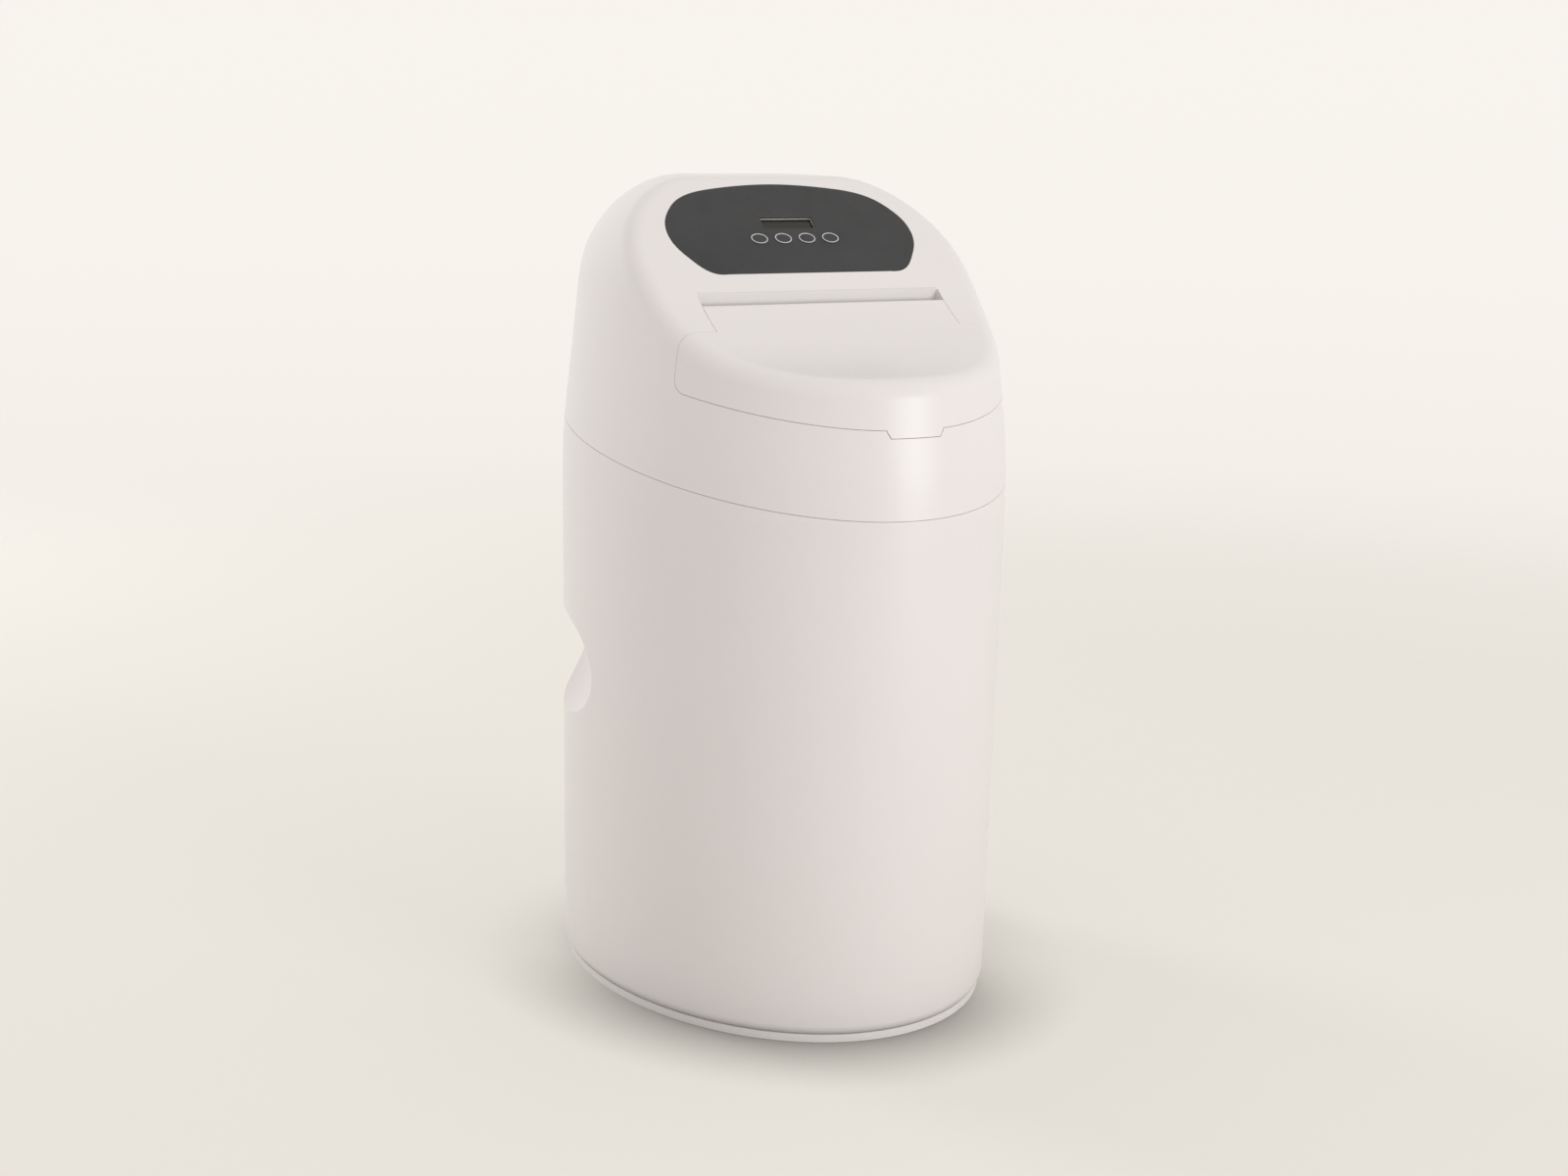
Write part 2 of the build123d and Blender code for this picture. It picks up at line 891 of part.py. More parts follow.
board_at = (key_at + window_at) / 2
board_bottom = board_drop + board_thickness
box_top = skin + box_gap
boss_places = [
    (x * (board_width / 2 - boss_inset), board_at + y * (board_length / 2 - boss_inset))
    for x in (-1, 1)
    for y in (-1, 1)
]
with BuildPart() as control_board:
    with BuildSketch(face_plane(board_bottom)):
        with Locations((0, board_at)):
            Rectangle(board_width, board_length)
        with Locations(*boss_places):
            Circle(screw_radius + screw_gap, mode=Mode.SUBTRACT)
    extrude(amount=board_thickness)
save(control_board, "control_board")

with BuildPart() as control_box:
    with BuildSketch(face_plane(box_top + box_depth)):
        with Locations((0, board_at)):
            Rectangle(box_width, box_length)
    extrude(amount=box_depth)
    with BuildSketch(face_plane(box_top + box_depth - box_wall)):
        with Locations((0, board_at)):
            Rectangle(box_width - 2 * box_wall, box_length - 2 * box_wall)
    extrude(amount=box_depth, mode=Mode.SUBTRACT)
    with BuildSketch(face_plane(box_top + box_depth - box_wall / 2)):
        with Locations(*boss_places):
            Circle(boss_radius)
    extrude(amount=box_top + box_depth - box_wall / 2 - board_bottom)
    with BuildSketch(face_plane(board_bottom)):
        with Locations(*boss_places):
            Circle(screw_radius + screw_gap)
    extrude(amount=-screw_length, mode=Mode.SUBTRACT)
save(control_box, "control_box")

with BuildPart() as board_screws:
    with BuildSketch(face_plane(board_drop)):
        with Locations(*boss_places):
            Circle(screw_head_radius)
    extrude(amount=screw_head_height)
    with BuildSketch(face_plane(board_drop)):
        with Locations(*boss_places):
            Circle(screw_radius)
    extrude(amount=-screw_length)
save(board_screws, "board_screws")

with BuildPart() as power_socket:
    with BuildSketch(Plane.XZ.offset(-socket_floor)):
        with Locations((socket_side, socket_height)):
            Circle(socket_flange)
    extrude(amount=-socket_flange_thickness)
    with BuildSketch(Plane.XZ.offset(-socket_floor)):
        with Locations((socket_side, socket_height)):
            Circle(socket_radius)
    extrude(amount=socket_depth)
    socket_face = -socket_floor - socket_flange_thickness
    with BuildSketch(Plane.XZ.offset(socket_face)):
        with Locations((socket_side, socket_height)):
            Circle(socket_bore)
            Circle(socket_pin_radius, mode=Mode.SUBTRACT)
    extrude(amount=socket_bore_depth, mode=Mode.SUBTRACT)
save(power_socket, "power_socket")

guard_top = axis_z - trough_drop - seat_gap
with BuildPart() as salt_guard:
    with BuildSketch(Plane.XZ.offset(-trough_y)):
        with Locations((0, (guard_top + guard_bottom) / 2)):
            Rectangle(2 * guard_half, guard_top - guard_bottom)
    extrude(amount=-guard_thickness)
save(salt_guard, "salt_guard")


# Resin tank and what stands in it
def domed(radius, dome, low, high):
    """Solid of the tank's shape about its axis, with a half ellipse at each end."""
    with BuildPart() as form:
        with BuildSketch(Plane.XZ.offset(-tank_y)):
            with BuildLine():
                EllipticalCenterArc((0, low + dome), radius, dome, -90, arc_size=90)
                Line((radius, low + dome), (radius, high - dome))
                EllipticalCenterArc((0, high - dome), radius, dome, 0, arc_size=90)
                Line((0, high), (0, low))
            make_face()
        revolve(axis=Axis((0, tank_y, 0), (0, 0, 1)))
    return form.part


def upright(place, radius, low, high, bore=0):
    """Upright round bar or tube between two heights."""
    with BuildPart() as bar:
        with BuildSketch(Plane(origin=(place[0], place[1], low))):
            Circle(radius)
            if bore:
                Circle(bore, mode=Mode.SUBTRACT)
        extrude(amount=high - low)
    return bar.part


def lengthwise(place, radius, near, far, bore=0):
    """Round bar or tube from front to back."""
    with BuildPart() as bar:
        with BuildSketch(Plane(origin=(place[0], near, place[1]), x_dir=(1, 0, 0), z_dir=(0, 1, 0))):
            Circle(radius)
            if bore:
                Circle(bore, mode=Mode.SUBTRACT)
        extrude(amount=far - near)
    return bar.part


def crosswise(place, radius, left, right, bore=0):
    """Round bar or tube from left to right."""
    with BuildPart() as bar:
        with BuildSketch(Plane(origin=(left, place[0], place[1]), x_dir=(0, 1, 0), z_dir=(1, 0, 0))):
            Circle(radius)
            if bore:
                Circle(bore, mode=Mode.SUBTRACT)
        extrude(amount=right - left)
    return bar.part


tank_place = (0, tank_y)
vessel_top = tank_top - neck_height
vessel = domed(tank_radius, tank_dome, tank_bottom, vessel_top)
vessel_room = domed(
    tank_radius - tank_wall, tank_dome - tank_wall, tank_bottom + tank_wall, vessel_top - tank_wall
)
with BuildPart() as resin_tank:
    add(vessel)
    add(upright(tank_place, neck_radius, vessel_top - tank_dome / 2, tank_top))
    add(vessel_room, mode=Mode.SUBTRACT)
    add(upright(tank_place, neck_bore, vessel_top - tank_dome, tank_top + overrun), mode=Mode.SUBTRACT)
save(resin_tank, "resin_tank")

boot_radius = tank_radius + boot_gap + boot_wall
with BuildPart() as tank_boot:
    add(upright(tank_place, boot_radius, floor_top, floor_top + boot_height))
    add(
        upright(tank_place, tank_radius + boot_gap, floor_top + boot_wall, height),
        mode=Mode.SUBTRACT,
    )
save(tank_boot, "tank_boot")

basket_low = tank_bottom + basket_drop
basket_high = basket_low + basket_height
basket_floor = basket_low + basket_wall
riser_top = valve_bottom - riser_socket / 4
bed_inner = domed(
    tank_radius - tank_wall - bed_gap,
    tank_dome - tank_wall - bed_gap,
    tank_bottom + tank_wall + bed_gap,
    vessel_top - tank_wall - bed_gap,
)
bed_top = tank_bottom + bed_top_share * tank_height
with BuildPart() as resin_bed:
    add(bed_inner)
    add(upright(tank_place, tank_radius, bed_top, height), mode=Mode.SUBTRACT)
    add(upright(tank_place, riser_radius + bed_gap, 0, height), mode=Mode.SUBTRACT)
    add(upright(tank_place, basket_radius + bed_gap, 0, basket_high + bed_gap), mode=Mode.SUBTRACT)
save(resin_bed, "resin_bed")

with BuildPart() as riser_tube:
    add(upright(tank_place, riser_radius, basket_floor, riser_top, riser_radius - riser_wall))
save(riser_tube, "riser_tube")


def basket(radius, low, high):
    """Slotted strainer round the riser, open inside, with a hole for the riser through both ends."""
    with BuildPart() as strainer:
        add(upright(tank_place, radius, low, high))
        add(
            upright(tank_place, radius - basket_wall, low + basket_wall, high - basket_wall),
            mode=Mode.SUBTRACT,
        )
        with BuildSketch(Plane.XY.offset(low + 2 * basket_wall)):
            with Locations(tank_place):
                with PolarLocations(radius, basket_slots):
                    Rectangle(4 * basket_wall, slot_width)
        extrude(amount=high - low - 4 * basket_wall, mode=Mode.SUBTRACT)
    return strainer.part


riser_hole = riser_radius + running_gap
with BuildPart() as lower_distributor:
    add(basket(basket_radius, basket_low, basket_high))
    add(upright(tank_place, riser_hole, basket_floor, height), mode=Mode.SUBTRACT)
save(lower_distributor, "lower_distributor")

spigot_bottom = tank_top - valve_spigot_depth
with BuildPart() as upper_distributor:
    add(basket(upper_basket_radius, spigot_bottom - upper_basket_height, spigot_bottom))
    add(upright(tank_place, riser_radius + seat_gap, 0, height), mode=Mode.SUBTRACT)
save(upper_distributor, "upper_distributor")


# Control valve
valve_top = valve_bottom + valve_height
valve_depth = valve_back_y - valve_front_y
port_side = port_spacing / 2
meter_y = valve_back_y - meter_back
injector_y = tank_y + injector_offset
drain_y = valve_front_y + drain_front
drain_z = port_z - drain_drop
bore_back_y = valve_back_y - bore_end
spigot_outer = neck_bore - valve_spigot_gap
spigot_inner = spigot_outer - valve_spigot_wall
chamber_radius = turbine_radius + chamber_gap
channel_y = valve_back_y - port_depth + channel_radius
port_back = valve_back_y + spigot_length
meter_place = (port_side, meter_y)
with BuildPart() as valve_body:
    with BuildSketch(Plane.XY.offset(valve_bottom)):
        with Locations((0, (valve_front_y + valve_back_y) / 2)):
            RectangleRounded(2 * valve_half, valve_depth, valve_round)
    extrude(amount=valve_height)
    add(upright(tank_place, flange_radius, tank_top, valve_bottom))
    add(upright(tank_place, spigot_outer, spigot_bottom, tank_top))
    for side in (-1, 1):
        place = (side * port_side, port_z)
        add(lengthwise(place, spigot_radius, valve_back_y - valve_round, port_back))
        add(lengthwise(place, port_radius, valve_back_y - port_depth, port_back), mode=Mode.SUBTRACT)
    add(upright(tank_place, spigot_inner, spigot_bottom, valve_bottom - riser_socket), mode=Mode.SUBTRACT)
    add(upright(tank_place, riser_hole, tank_top, valve_bottom), mode=Mode.SUBTRACT)
    add(upright(tank_place, port_radius, tank_top, port_z), mode=Mode.SUBTRACT)
    add(lengthwise((0, port_z), bore_radius, valve_front_y, bore_back_y), mode=Mode.SUBTRACT)
    add(crosswise((channel_y, port_z), channel_radius, -port_side, port_side), mode=Mode.SUBTRACT)
    add(upright(meter_place, chamber_radius, valve_top - chamber_depth, valve_top), mode=Mode.SUBTRACT)
    add(crosswise((drain_y, drain_z), drain_bore, 0, valve_half), mode=Mode.SUBTRACT)
    add(crosswise((injector_y, port_z), pipe_radius, -valve_half, 0), mode=Mode.SUBTRACT)
save(valve_body, "valve_body")

seal_middle = (valve_front_y + cap_plug + bore_back_y) / 2
with BuildPart() as seal_rings:
    for k in range(seal_count):
        centre = seal_middle + seal_pitch * (k - (seal_count - 1) / 2)
        add(
            lengthwise(
                (0, port_z),
                bore_radius - seal_gap,
                centre - seal_width / 2,
                centre + seal_width / 2,
                piston_radius + seal_gap,
            )
        )
save(seal_rings, "seal_rings")

piston_y = valve_front_y + cap_plug + stroke
rod_front = valve_front_y - rod_reach
with BuildPart() as piston:
    add(lengthwise((0, port_z), piston_radius, piston_y, piston_y + piston_length))
    add(lengthwise((0, port_z), rod_radius, rod_front, piston_y))
save(piston, "piston")

cap_y = valve_front_y - cap_thickness
with BuildPart() as bore_cap:
    add(lengthwise((0, port_z), cap_radius, cap_y, valve_front_y))
    add(lengthwise((0, port_z), bore_radius - seal_gap, valve_front_y, valve_front_y + cap_plug))
    add(lengthwise((0, port_z), rod_radius + rod_gap, cap_y, valve_front_y + cap_plug), mode=Mode.SUBTRACT)
save(bore_cap, "bore_cap")

plate_y = cap_y - plate_thickness
gear_pitch = gear_module * gear_teeth / 2
pinion_pitch = gear_module * pinion_teeth / 2
motor_z = port_z + gear_pitch + pinion_pitch
with BuildPart() as drive_plate:
    with BuildSketch(Plane(origin=(0, plate_y, port_z), x_dir=(1, 0, 0), z_dir=(0, 1, 0))):
        with Locations((0, (plate_low - plate_high) / 2)):
            RectangleRounded(2 * plate_half, plate_low + plate_high, valve_round)
        Circle(rod_radius + shaft_clear, mode=Mode.SUBTRACT)
        with Locations((0, port_z - motor_z)):
            Circle(motor_shaft_radius + shaft_clear, mode=Mode.SUBTRACT)
    extrude(amount=plate_thickness)
save(drive_plate, "drive_plate")


def gear_outline(teeth, turn):
    """Corner points of a gear with curved flanks, turned by an angle."""
    pitch = gear_module * teeth / 2
    base = pitch * cos(radians(pressure_angle))
    tip = pitch + gear_module * addendum_share
    root = pitch - gear_module * dedendum_share
    half_angle = pi / teeth * tooth_share
    lean_at_pitch = tan(radians(pressure_angle)) - radians(pressure_angle)
    start = max(root, base)
    flank = [(root, half_angle + lean_at_pitch)]
    for k in range(flank_steps + 1):
        radius = start + (tip - start) * k / flank_steps
        lean = acos(base / radius)
        flank.append((radius, half_angle + lean_at_pitch - (tan(lean) - lean)))
    if start == root:
        flank = flank[1:]
    points = []
    for tooth in range(teeth):
        middle = turn + 2 * pi * tooth / teeth
        rays = [(radius, middle - angle) for radius, angle in flank]
        rays += [(radius, middle + angle) for radius, angle in reversed(flank)]
        points += [(radius * cos(angle), radius * sin(angle)) for radius, angle in rays]
    return points


gear_end = plate_y - seat_gap
gear_start = gear_end - gear_width
with BuildPart() as drive_gear:
    with BuildSketch(Plane(origin=(0, gear_start, port_z), x_dir=(1, 0, 0), z_dir=(0, 1, 0))):
        with BuildLine():
            Polyline(*gear_outline(gear_teeth, 0), close=True)
        make_face()
    extrude(amount=gear_width)
    add(lengthwise((0, port_z), gear_hub_radius, gear_end - gear_hub_length, gear_end))
    add(lengthwise((0, port_z), rod_radius + running_gap, rod_front - overrun, plate_y), mode=Mode.SUBTRACT)
save(drive_gear, "drive_gear")

shaft_front = plate_y + plate_thickness + seat_gap - motor_shaft_reach
with BuildPart() as motor_pinion:
    with BuildSketch(
        Plane(origin=(0, plate_y - seat_gap - pinion_width, motor_z), x_dir=(1, 0, 0), z_dir=(0, 1, 0))
    ):
        with BuildLine():
            Polyline(*gear_outline(pinion_teeth, pi / pinion_teeth), close=True)
        make_face()
    extrude(amount=pinion_width)
    add(
        lengthwise((0, motor_z), motor_shaft_radius + running_gap, shaft_front - overrun, plate_y),
        mode=Mode.SUBTRACT,
    )
save(motor_pinion, "motor_pinion")

motor_y = plate_y + plate_thickness + seat_gap
with BuildPart() as drive_motor:
    add(lengthwise((0, motor_z), motor_radius, motor_y, motor_y + motor_length))
    add(lengthwise((0, motor_z), motor_shaft_radius, shaft_front, motor_y))
save(drive_motor, "drive_motor")

turbine_low = port_z - turbine_height / 2
with BuildPart() as meter_turbine:
    add(upright(meter_place, turbine_hub, turbine_low, turbine_low + turbine_height))
    with BuildSketch(Plane.XY.offset(turbine_low)):
        with Locations(meter_place):
            with PolarLocations((turbine_radius + axle_radius) / 2, turbine_blades):
                Rectangle(turbine_radius - axle_radius, blade_thickness)
    extrude(amount=turbine_height)
    add(upright(meter_place, axle_radius + running_gap, 0, height), mode=Mode.SUBTRACT)
save(meter_turbine, "meter_turbine")

with BuildPart() as meter_cap:
    add(upright(meter_place, meter_cap_radius, valve_top, valve_top + meter_cap_height))
    add(upright(meter_place, axle_radius, turbine_low - seat_gap, valve_top))
    add(upright(meter_place, turbine_hub, turbine_low + turbine_height + seat_gap, valve_top))
save(meter_cap, "meter_cap")

with BuildPart() as injector_cap:
    add(crosswise((injector_y, port_z), injector_radius, -valve_half - injector_length, -valve_half))
    add(
        crosswise(
            (injector_y, port_z),
            pipe_radius + running_gap,
            -valve_half - injector_length,
            -valve_half - injector_length + hose_seat,
        ),
        mode=Mode.SUBTRACT,
    )
    add(crosswise((injector_y, port_z), pipe_bore, -valve_half - injector_length, 0), mode=Mode.SUBTRACT)
save(injector_cap, "injector_cap")


def ball(place, radius):
    """Ball that rounds the corner of an elbow."""
    with BuildPart() as corner:
        with Locations(place):
            Sphere(radius)
    return corner.part


def barb(place, radius, end):
    """Ridges round the rear end of a spigot."""
    pitch = barb_length / barb_count
    with BuildPart() as ridges:
        for k in range(barb_count):
            start = (place[0], end - pitch * (k + 1), place[1])
            with BuildSketch(Plane(origin=start, x_dir=(1, 0, 0), z_dir=(0, 1, 0))):
                Circle(radius + barb_ridge)
            extrude(amount=pitch / 2, taper=degrees(atan2(2 * barb_ridge, pitch)))
    return ridges.part


spigot_start = drain_y + drain_run
drain_end = spigot_start + drain_spigot_length
with BuildPart() as drain_elbow:
    add(crosswise((drain_y, drain_z), drain_radius, valve_half, drain_side))
    add(ball((drain_side, drain_y, drain_z), drain_radius))
    add(lengthwise((drain_side, drain_z), drain_radius, drain_y, spigot_start))
    add(lengthwise((drain_side, drain_z), drain_spigot_radius, spigot_start, drain_end))
    add(crosswise((drain_y, drain_z), drain_bore, valve_half, drain_side), mode=Mode.SUBTRACT)
    add(ball((drain_side, drain_y, drain_z), drain_bore), mode=Mode.SUBTRACT)
    add(lengthwise((drain_side, drain_z), drain_bore, drain_y, drain_end), mode=Mode.SUBTRACT)
save(drain_elbow, "drain_elbow")


# Bypass and connectors
bypass_low = port_z - bypass_height / 2
bypass_high = port_z + bypass_height / 2
sleeve_front = valve_back_y + spigot_length + seat_gap
stub_back = bypass_y + stub_length
with BuildPart() as bypass_body:
    for side in (-1, 1):
        add(upright((side * port_side, bypass_y), bypass_radius, bypass_low, bypass_high))
        add(lengthwise((side * port_side, port_z), sleeve_radius, sleeve_front, bypass_y))
        add(lengthwise((side * port_side, port_z), stub_radius, bypass_y, stub_back))
    add(crosswise((bypass_y, port_z), bridge_radius, -port_side, port_side))
    for side in (-1, 1):
        add(lengthwise((side * port_side, port_z), port_radius, sleeve_front, stub_back), mode=Mode.SUBTRACT)
        add(
            upright((side * port_side, bypass_y), rotor_radius, bypass_low + basket_wall, bypass_high),
            mode=Mode.SUBTRACT,
        )
    add(crosswise((bypass_y, port_z), channel_radius, -port_side, port_side), mode=Mode.SUBTRACT)
save(bypass_body, "bypass_body")

handle_low = bypass_high + handle_clear
for side, name in ((1, "inlet"), (-1, "outlet")):
    place = (side * port_side, bypass_y)
    with BuildPart() as rotor:
        add(upright(place, rotor_radius - rotor_gap, bypass_low + basket_wall + seat_gap, handle_low))
        add(
            lengthwise((place[0], port_z), rotor_bore, bypass_y - rotor_radius, bypass_y + rotor_radius),
            mode=Mode.SUBTRACT,
        )
        add(upright(place, rotor_radius, handle_low, handle_low + handle_height))
        with BuildSketch(Plane(origin=(place[0], place[1], handle_low))):
            with Locations((0, handle_reach / 2)):
                Rectangle(handle_width, handle_reach)
        extrude(amount=handle_height)
    save(rotor, "bypass_rotor_" + name)

tail_front = stub_back + seat_gap
tail_end = back_y + tail_overhang
with BuildPart() as tail_connectors:
    for side in (-1, 1):
        place = (side * port_side, port_z)
        add(lengthwise(place, tail_flange_radius, tail_front, tail_front + tail_flange_thickness))
        add(lengthwise(place, tail_radius, tail_front, tail_end - thread_length))
        add(lengthwise(place, thread_radius, tail_end - thread_length, tail_end))
        add(lengthwise(place, tail_bore, tail_front, tail_end), mode=Mode.SUBTRACT)
save(tail_connectors, "tail_connectors")

nut_back = tail_front + tail_flange_thickness + seat_gap + tail_flange_thickness
nut_front = nut_back - nut_length
with BuildPart() as tail_nuts:
    for side in (-1, 1):
        place = (side * port_side, port_z)
        add(lengthwise(place, nut_radius - nut_rib_radius, nut_front, nut_back))
        with BuildSketch(Plane(origin=(place[0], nut_front, place[1]), x_dir=(1, 0, 0), z_dir=(0, 1, 0))):
            with PolarLocations(nut_radius - nut_rib_radius, nut_ribs):
                Circle(nut_rib_radius)
        extrude(amount=nut_length)
        add(
            lengthwise(place, tail_flange_radius + seat_gap, tail_front, nut_back - tail_flange_thickness),
            mode=Mode.SUBTRACT,
        )
        add(lengthwise(place, stub_radius + running_gap, nut_front, tail_front), mode=Mode.SUBTRACT)
        add(lengthwise(place, tail_radius + seat_gap, nut_front, nut_back), mode=Mode.SUBTRACT)
save(tail_nuts, "tail_nuts")


# Brine gear
well_place = (-well_side, well_y)
pipe_low_z = brine_valve_bottom + brine_valve_height / 2
with BuildPart() as brine_well:
    add(upright(well_place, well_radius, floor_top, well_top, well_radius - well_wall))
    with BuildSketch(Plane.XY.offset(floor_top + well_slot_width)):
        with Locations(well_place):
            with PolarLocations(well_radius, well_slots):
                Rectangle(4 * well_wall, well_slot_width)
    extrude(amount=well_slot_height, mode=Mode.SUBTRACT)
    add(
        lengthwise((-well_side, pipe_low_z), pipe_radius + pipe_gap, well_y, well_y + well_radius),
        mode=Mode.SUBTRACT,
    )
save(brine_well, "brine_well")

cap_roof = well_top + seat_gap
cap_outer = well_radius + seat_gap + well_cap_wall
with BuildPart() as brine_well_cap:
    add(upright(well_place, cap_outer, cap_roof + well_cap_wall - well_cap_height, cap_roof + well_cap_wall))
    add(upright(well_place, well_radius + seat_gap, 0, cap_roof), mode=Mode.SUBTRACT)
save(brine_well_cap, "brine_well_cap")

float_bore = pipe_radius + stop_gap
with BuildPart() as brine_float:
    add(upright(well_place, float_radius, float_bottom, float_bottom + float_height))
    fillet(brine_float.edges(), radius=float_round)
    add(upright(well_place, float_bore, 0, height), mode=Mode.SUBTRACT)
save(brine_float, "brine_float")

air_check_low = floor_top + seat_gap
air_check_top = air_check_low + air_check_height
stop_high = float_bottom + float_height + float_travel + stop_gap
with BuildPart() as pickup_tube:
    add(upright(well_place, pipe_radius, air_check_top, brine_valve_bottom))
    add(upright(well_place, stop_radius, float_bottom - stop_gap - stop_height, float_bottom - stop_gap))
    add(upright(well_place, stop_radius, stop_high, stop_high + stop_height))
    add(upright(well_place, pipe_bore, air_check_top, brine_valve_bottom), mode=Mode.SUBTRACT)
save(pickup_tube, "pickup_tube")

with BuildPart() as brine_valve:
    add(upright(well_place, brine_valve_radius, brine_valve_bottom, brine_valve_bottom + brine_valve_height))
    fillet(brine_valve.edges().group_by(Axis.Z)[-1], radius=brine_valve_radius / 4)
    add(upright(well_place, pipe_bore, 0, pipe_low_z), mode=Mode.SUBTRACT)
    add(
        lengthwise(
            (-well_side, pipe_low_z),
            pipe_radius + running_gap,
            well_y + brine_valve_radius - hose_seat,
            well_y + brine_valve_radius,
        ),
        mode=Mode.SUBTRACT,
    )
    add(
        lengthwise((-well_side, pipe_low_z), pipe_bore, well_y, well_y + brine_valve_radius),
        mode=Mode.SUBTRACT,
    )
save(brine_valve, "brine_valve")

inlet_height = air_check_low + air_check_height / 4
with BuildPart() as air_check:
    add(upright(well_place, air_check_radius, air_check_low, air_check_top))
    fillet(air_check.edges().group_by(Axis.Z)[-1], radius=air_check_radius / 4)
    add(upright(well_place, pipe_bore, inlet_height, air_check_top), mode=Mode.SUBTRACT)
    add(
        crosswise(
            (well_y, inlet_height),
            pipe_bore,
            -well_side - air_check_radius,
            -well_side + air_check_radius,
        ),
        mode=Mode.SUBTRACT,
    )
save(air_check, "air_check")

pipe_y = front_y + pipe_back
pipe_points = [
    (-well_side, well_y + brine_valve_radius - hose_seat, pipe_low_z),
    (-well_side, pipe_y, pipe_low_z),
    (-well_side, pipe_y, port_z),
    (-well_side, injector_y, port_z),
    (-valve_half - injector_length + hose_seat, injector_y, port_z),
]
with BuildPart() as brine_line:
    with BuildLine() as pipe_path:
        FilletPolyline(*pipe_points, radius=pipe_turn)
    with BuildSketch(Plane(origin=pipe_points[0], z_dir=(0, 1, 0))):
        Circle(pipe_radius)
        Circle(pipe_bore, mode=Mode.SUBTRACT)
    sweep()
save(brine_line, "brine_line")
pipe_section = pi * (pipe_radius**2 - pipe_bore**2)
pipe_length = pipe_path.wires()[0].length
print("brine line volume over section times length:", brine_line.part.volume / pipe_section / pipe_length)


# Salt grid on its legs, clear of the tank boot and the brine well
def grid_plan(level, inset):
    """Outline of the room at a low height, inside the wall by an inset."""
    share = (level - plinth_height) / (waist_height - plinth_height)
    return plan(
        level,
        base_side_inset * (1 - share) + inset,
        base_front_inset * (1 - share) + inset,
        base_back_inset * (1 - share) + inset,
        flat_half_at(inset),
    )


grid_outline = grid_plan(grid_height, skin + grid_gap)
grid_back_y = front_y + grid_back
hole_columns = int(width / grid_hole_pitch / 2)
hole_rows = int(grid_back / grid_hole_pitch)


def hole_fits(x, y):
    """True for a hole that keeps its margin to the outline, the tank and the well."""
    margin = grid_hole_radius + grid_edge
    half = width / 2 - skin - margin
    long = nose_length - skin - margin
    inside = (x / half) ** 2 + ((y - middle_y) / long) ** 2 < 1
    off_tank = sqrt(x**2 + (y - tank_y) ** 2) > boot_radius + margin
    off_well = sqrt((x + well_side) ** 2 + (y - well_y) ** 2) > well_radius + margin
    return inside and off_tank and off_well and y < grid_back_y - margin


grid_holes = [
    (column * grid_hole_pitch, front_y + grid_edge + row * grid_hole_pitch)
    for column in range(-hole_columns, hole_columns + 1)
    for row in range(1, hole_rows + 1)
]
grid_holes = [place for place in grid_holes if hole_fits(*place)]
leg_places = [
    (side * across, front_y + back)
    for across, back in ((leg_side, leg_back), (front_leg_side, front_leg_back))
    for side in (-1, 1)
]
with BuildPart() as salt_grid:
    extrude(grid_outline, amount=grid_thickness)
    with BuildSketch(Plane.XY.offset(grid_height)):
        with Locations((0, grid_back_y + depth / 2)):
            Rectangle(width, depth)
        with Locations(tank_place):
            Circle(boot_radius + grid_gap)
        with Locations(well_place):
            Circle(well_radius + grid_gap)
        with Locations(*grid_holes):
            Circle(grid_hole_radius)
    extrude(amount=grid_thickness, mode=Mode.SUBTRACT)
    with BuildSketch(Plane.XY.offset(floor_top)):
        with Locations(*leg_places):
            Circle(leg_radius)
    extrude(amount=grid_height - floor_top)
save(salt_grid, "salt_grid")


# Overflow at the back of the cabinet
def rear_wall(level):
    """How far back the outside of the cabinet's rear is at a height below the waist."""
    share = (level - plinth_height) / (waist_height - plinth_height)
    return back_y - base_back_inset * (1 - share)


wall_y = rear_wall(overflow_height)
flange_y = rear_wall(overflow_height - overflow_flange) - skin - seat_gap
elbow_y = wall_y - overflow_inset
overflow_end = wall_y + overflow_reach + barb_length
overflow_place = (-overflow_offset, overflow_height)
elbow_place = (-overflow_offset, elbow_y)
elbow_low = overflow_height - overflow_drop
with BuildPart() as overflow_elbow:
    add(lengthwise(overflow_place, overflow_tube, elbow_y, overflow_end))
    add(barb(overflow_place, overflow_tube, overflow_end))
    add(lengthwise(overflow_place, overflow_flange, flange_y - overflow_flange_thickness, flange_y))
    add(ball((-overflow_offset, elbow_y, overflow_height), overflow_tube))
    add(upright(elbow_place, overflow_tube, elbow_low, overflow_height))
    add(lengthwise(overflow_place, overflow_bore, elbow_y, overflow_end), mode=Mode.SUBTRACT)
    add(ball((-overflow_offset, elbow_y, overflow_height), overflow_bore), mode=Mode.SUBTRACT)
    add(upright(elbow_place, overflow_bore, elbow_low, overflow_height), mode=Mode.SUBTRACT)
save(overflow_elbow, "overflow_elbow")

nut_y = rear_wall(overflow_height + overflow_flange) + seat_gap
with BuildPart() as overflow_nut:
    nut_start = (-overflow_offset, nut_y, overflow_height)
    with BuildSketch(Plane(origin=nut_start, x_dir=(1, 0, 0), z_dir=(0, 1, 0))):
        RegularPolygon(overflow_flange, 6)
        Circle(overflow_tube + running_gap, mode=Mode.SUBTRACT)
    extrude(amount=overflow_nut_thickness)
save(overflow_nut, "overflow_nut")
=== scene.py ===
# Compact cabinet water softener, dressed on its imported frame. Metres, +Z up, front towards -Y.
import math

import bmesh
import bpy
from mathutils import Matrix, Vector


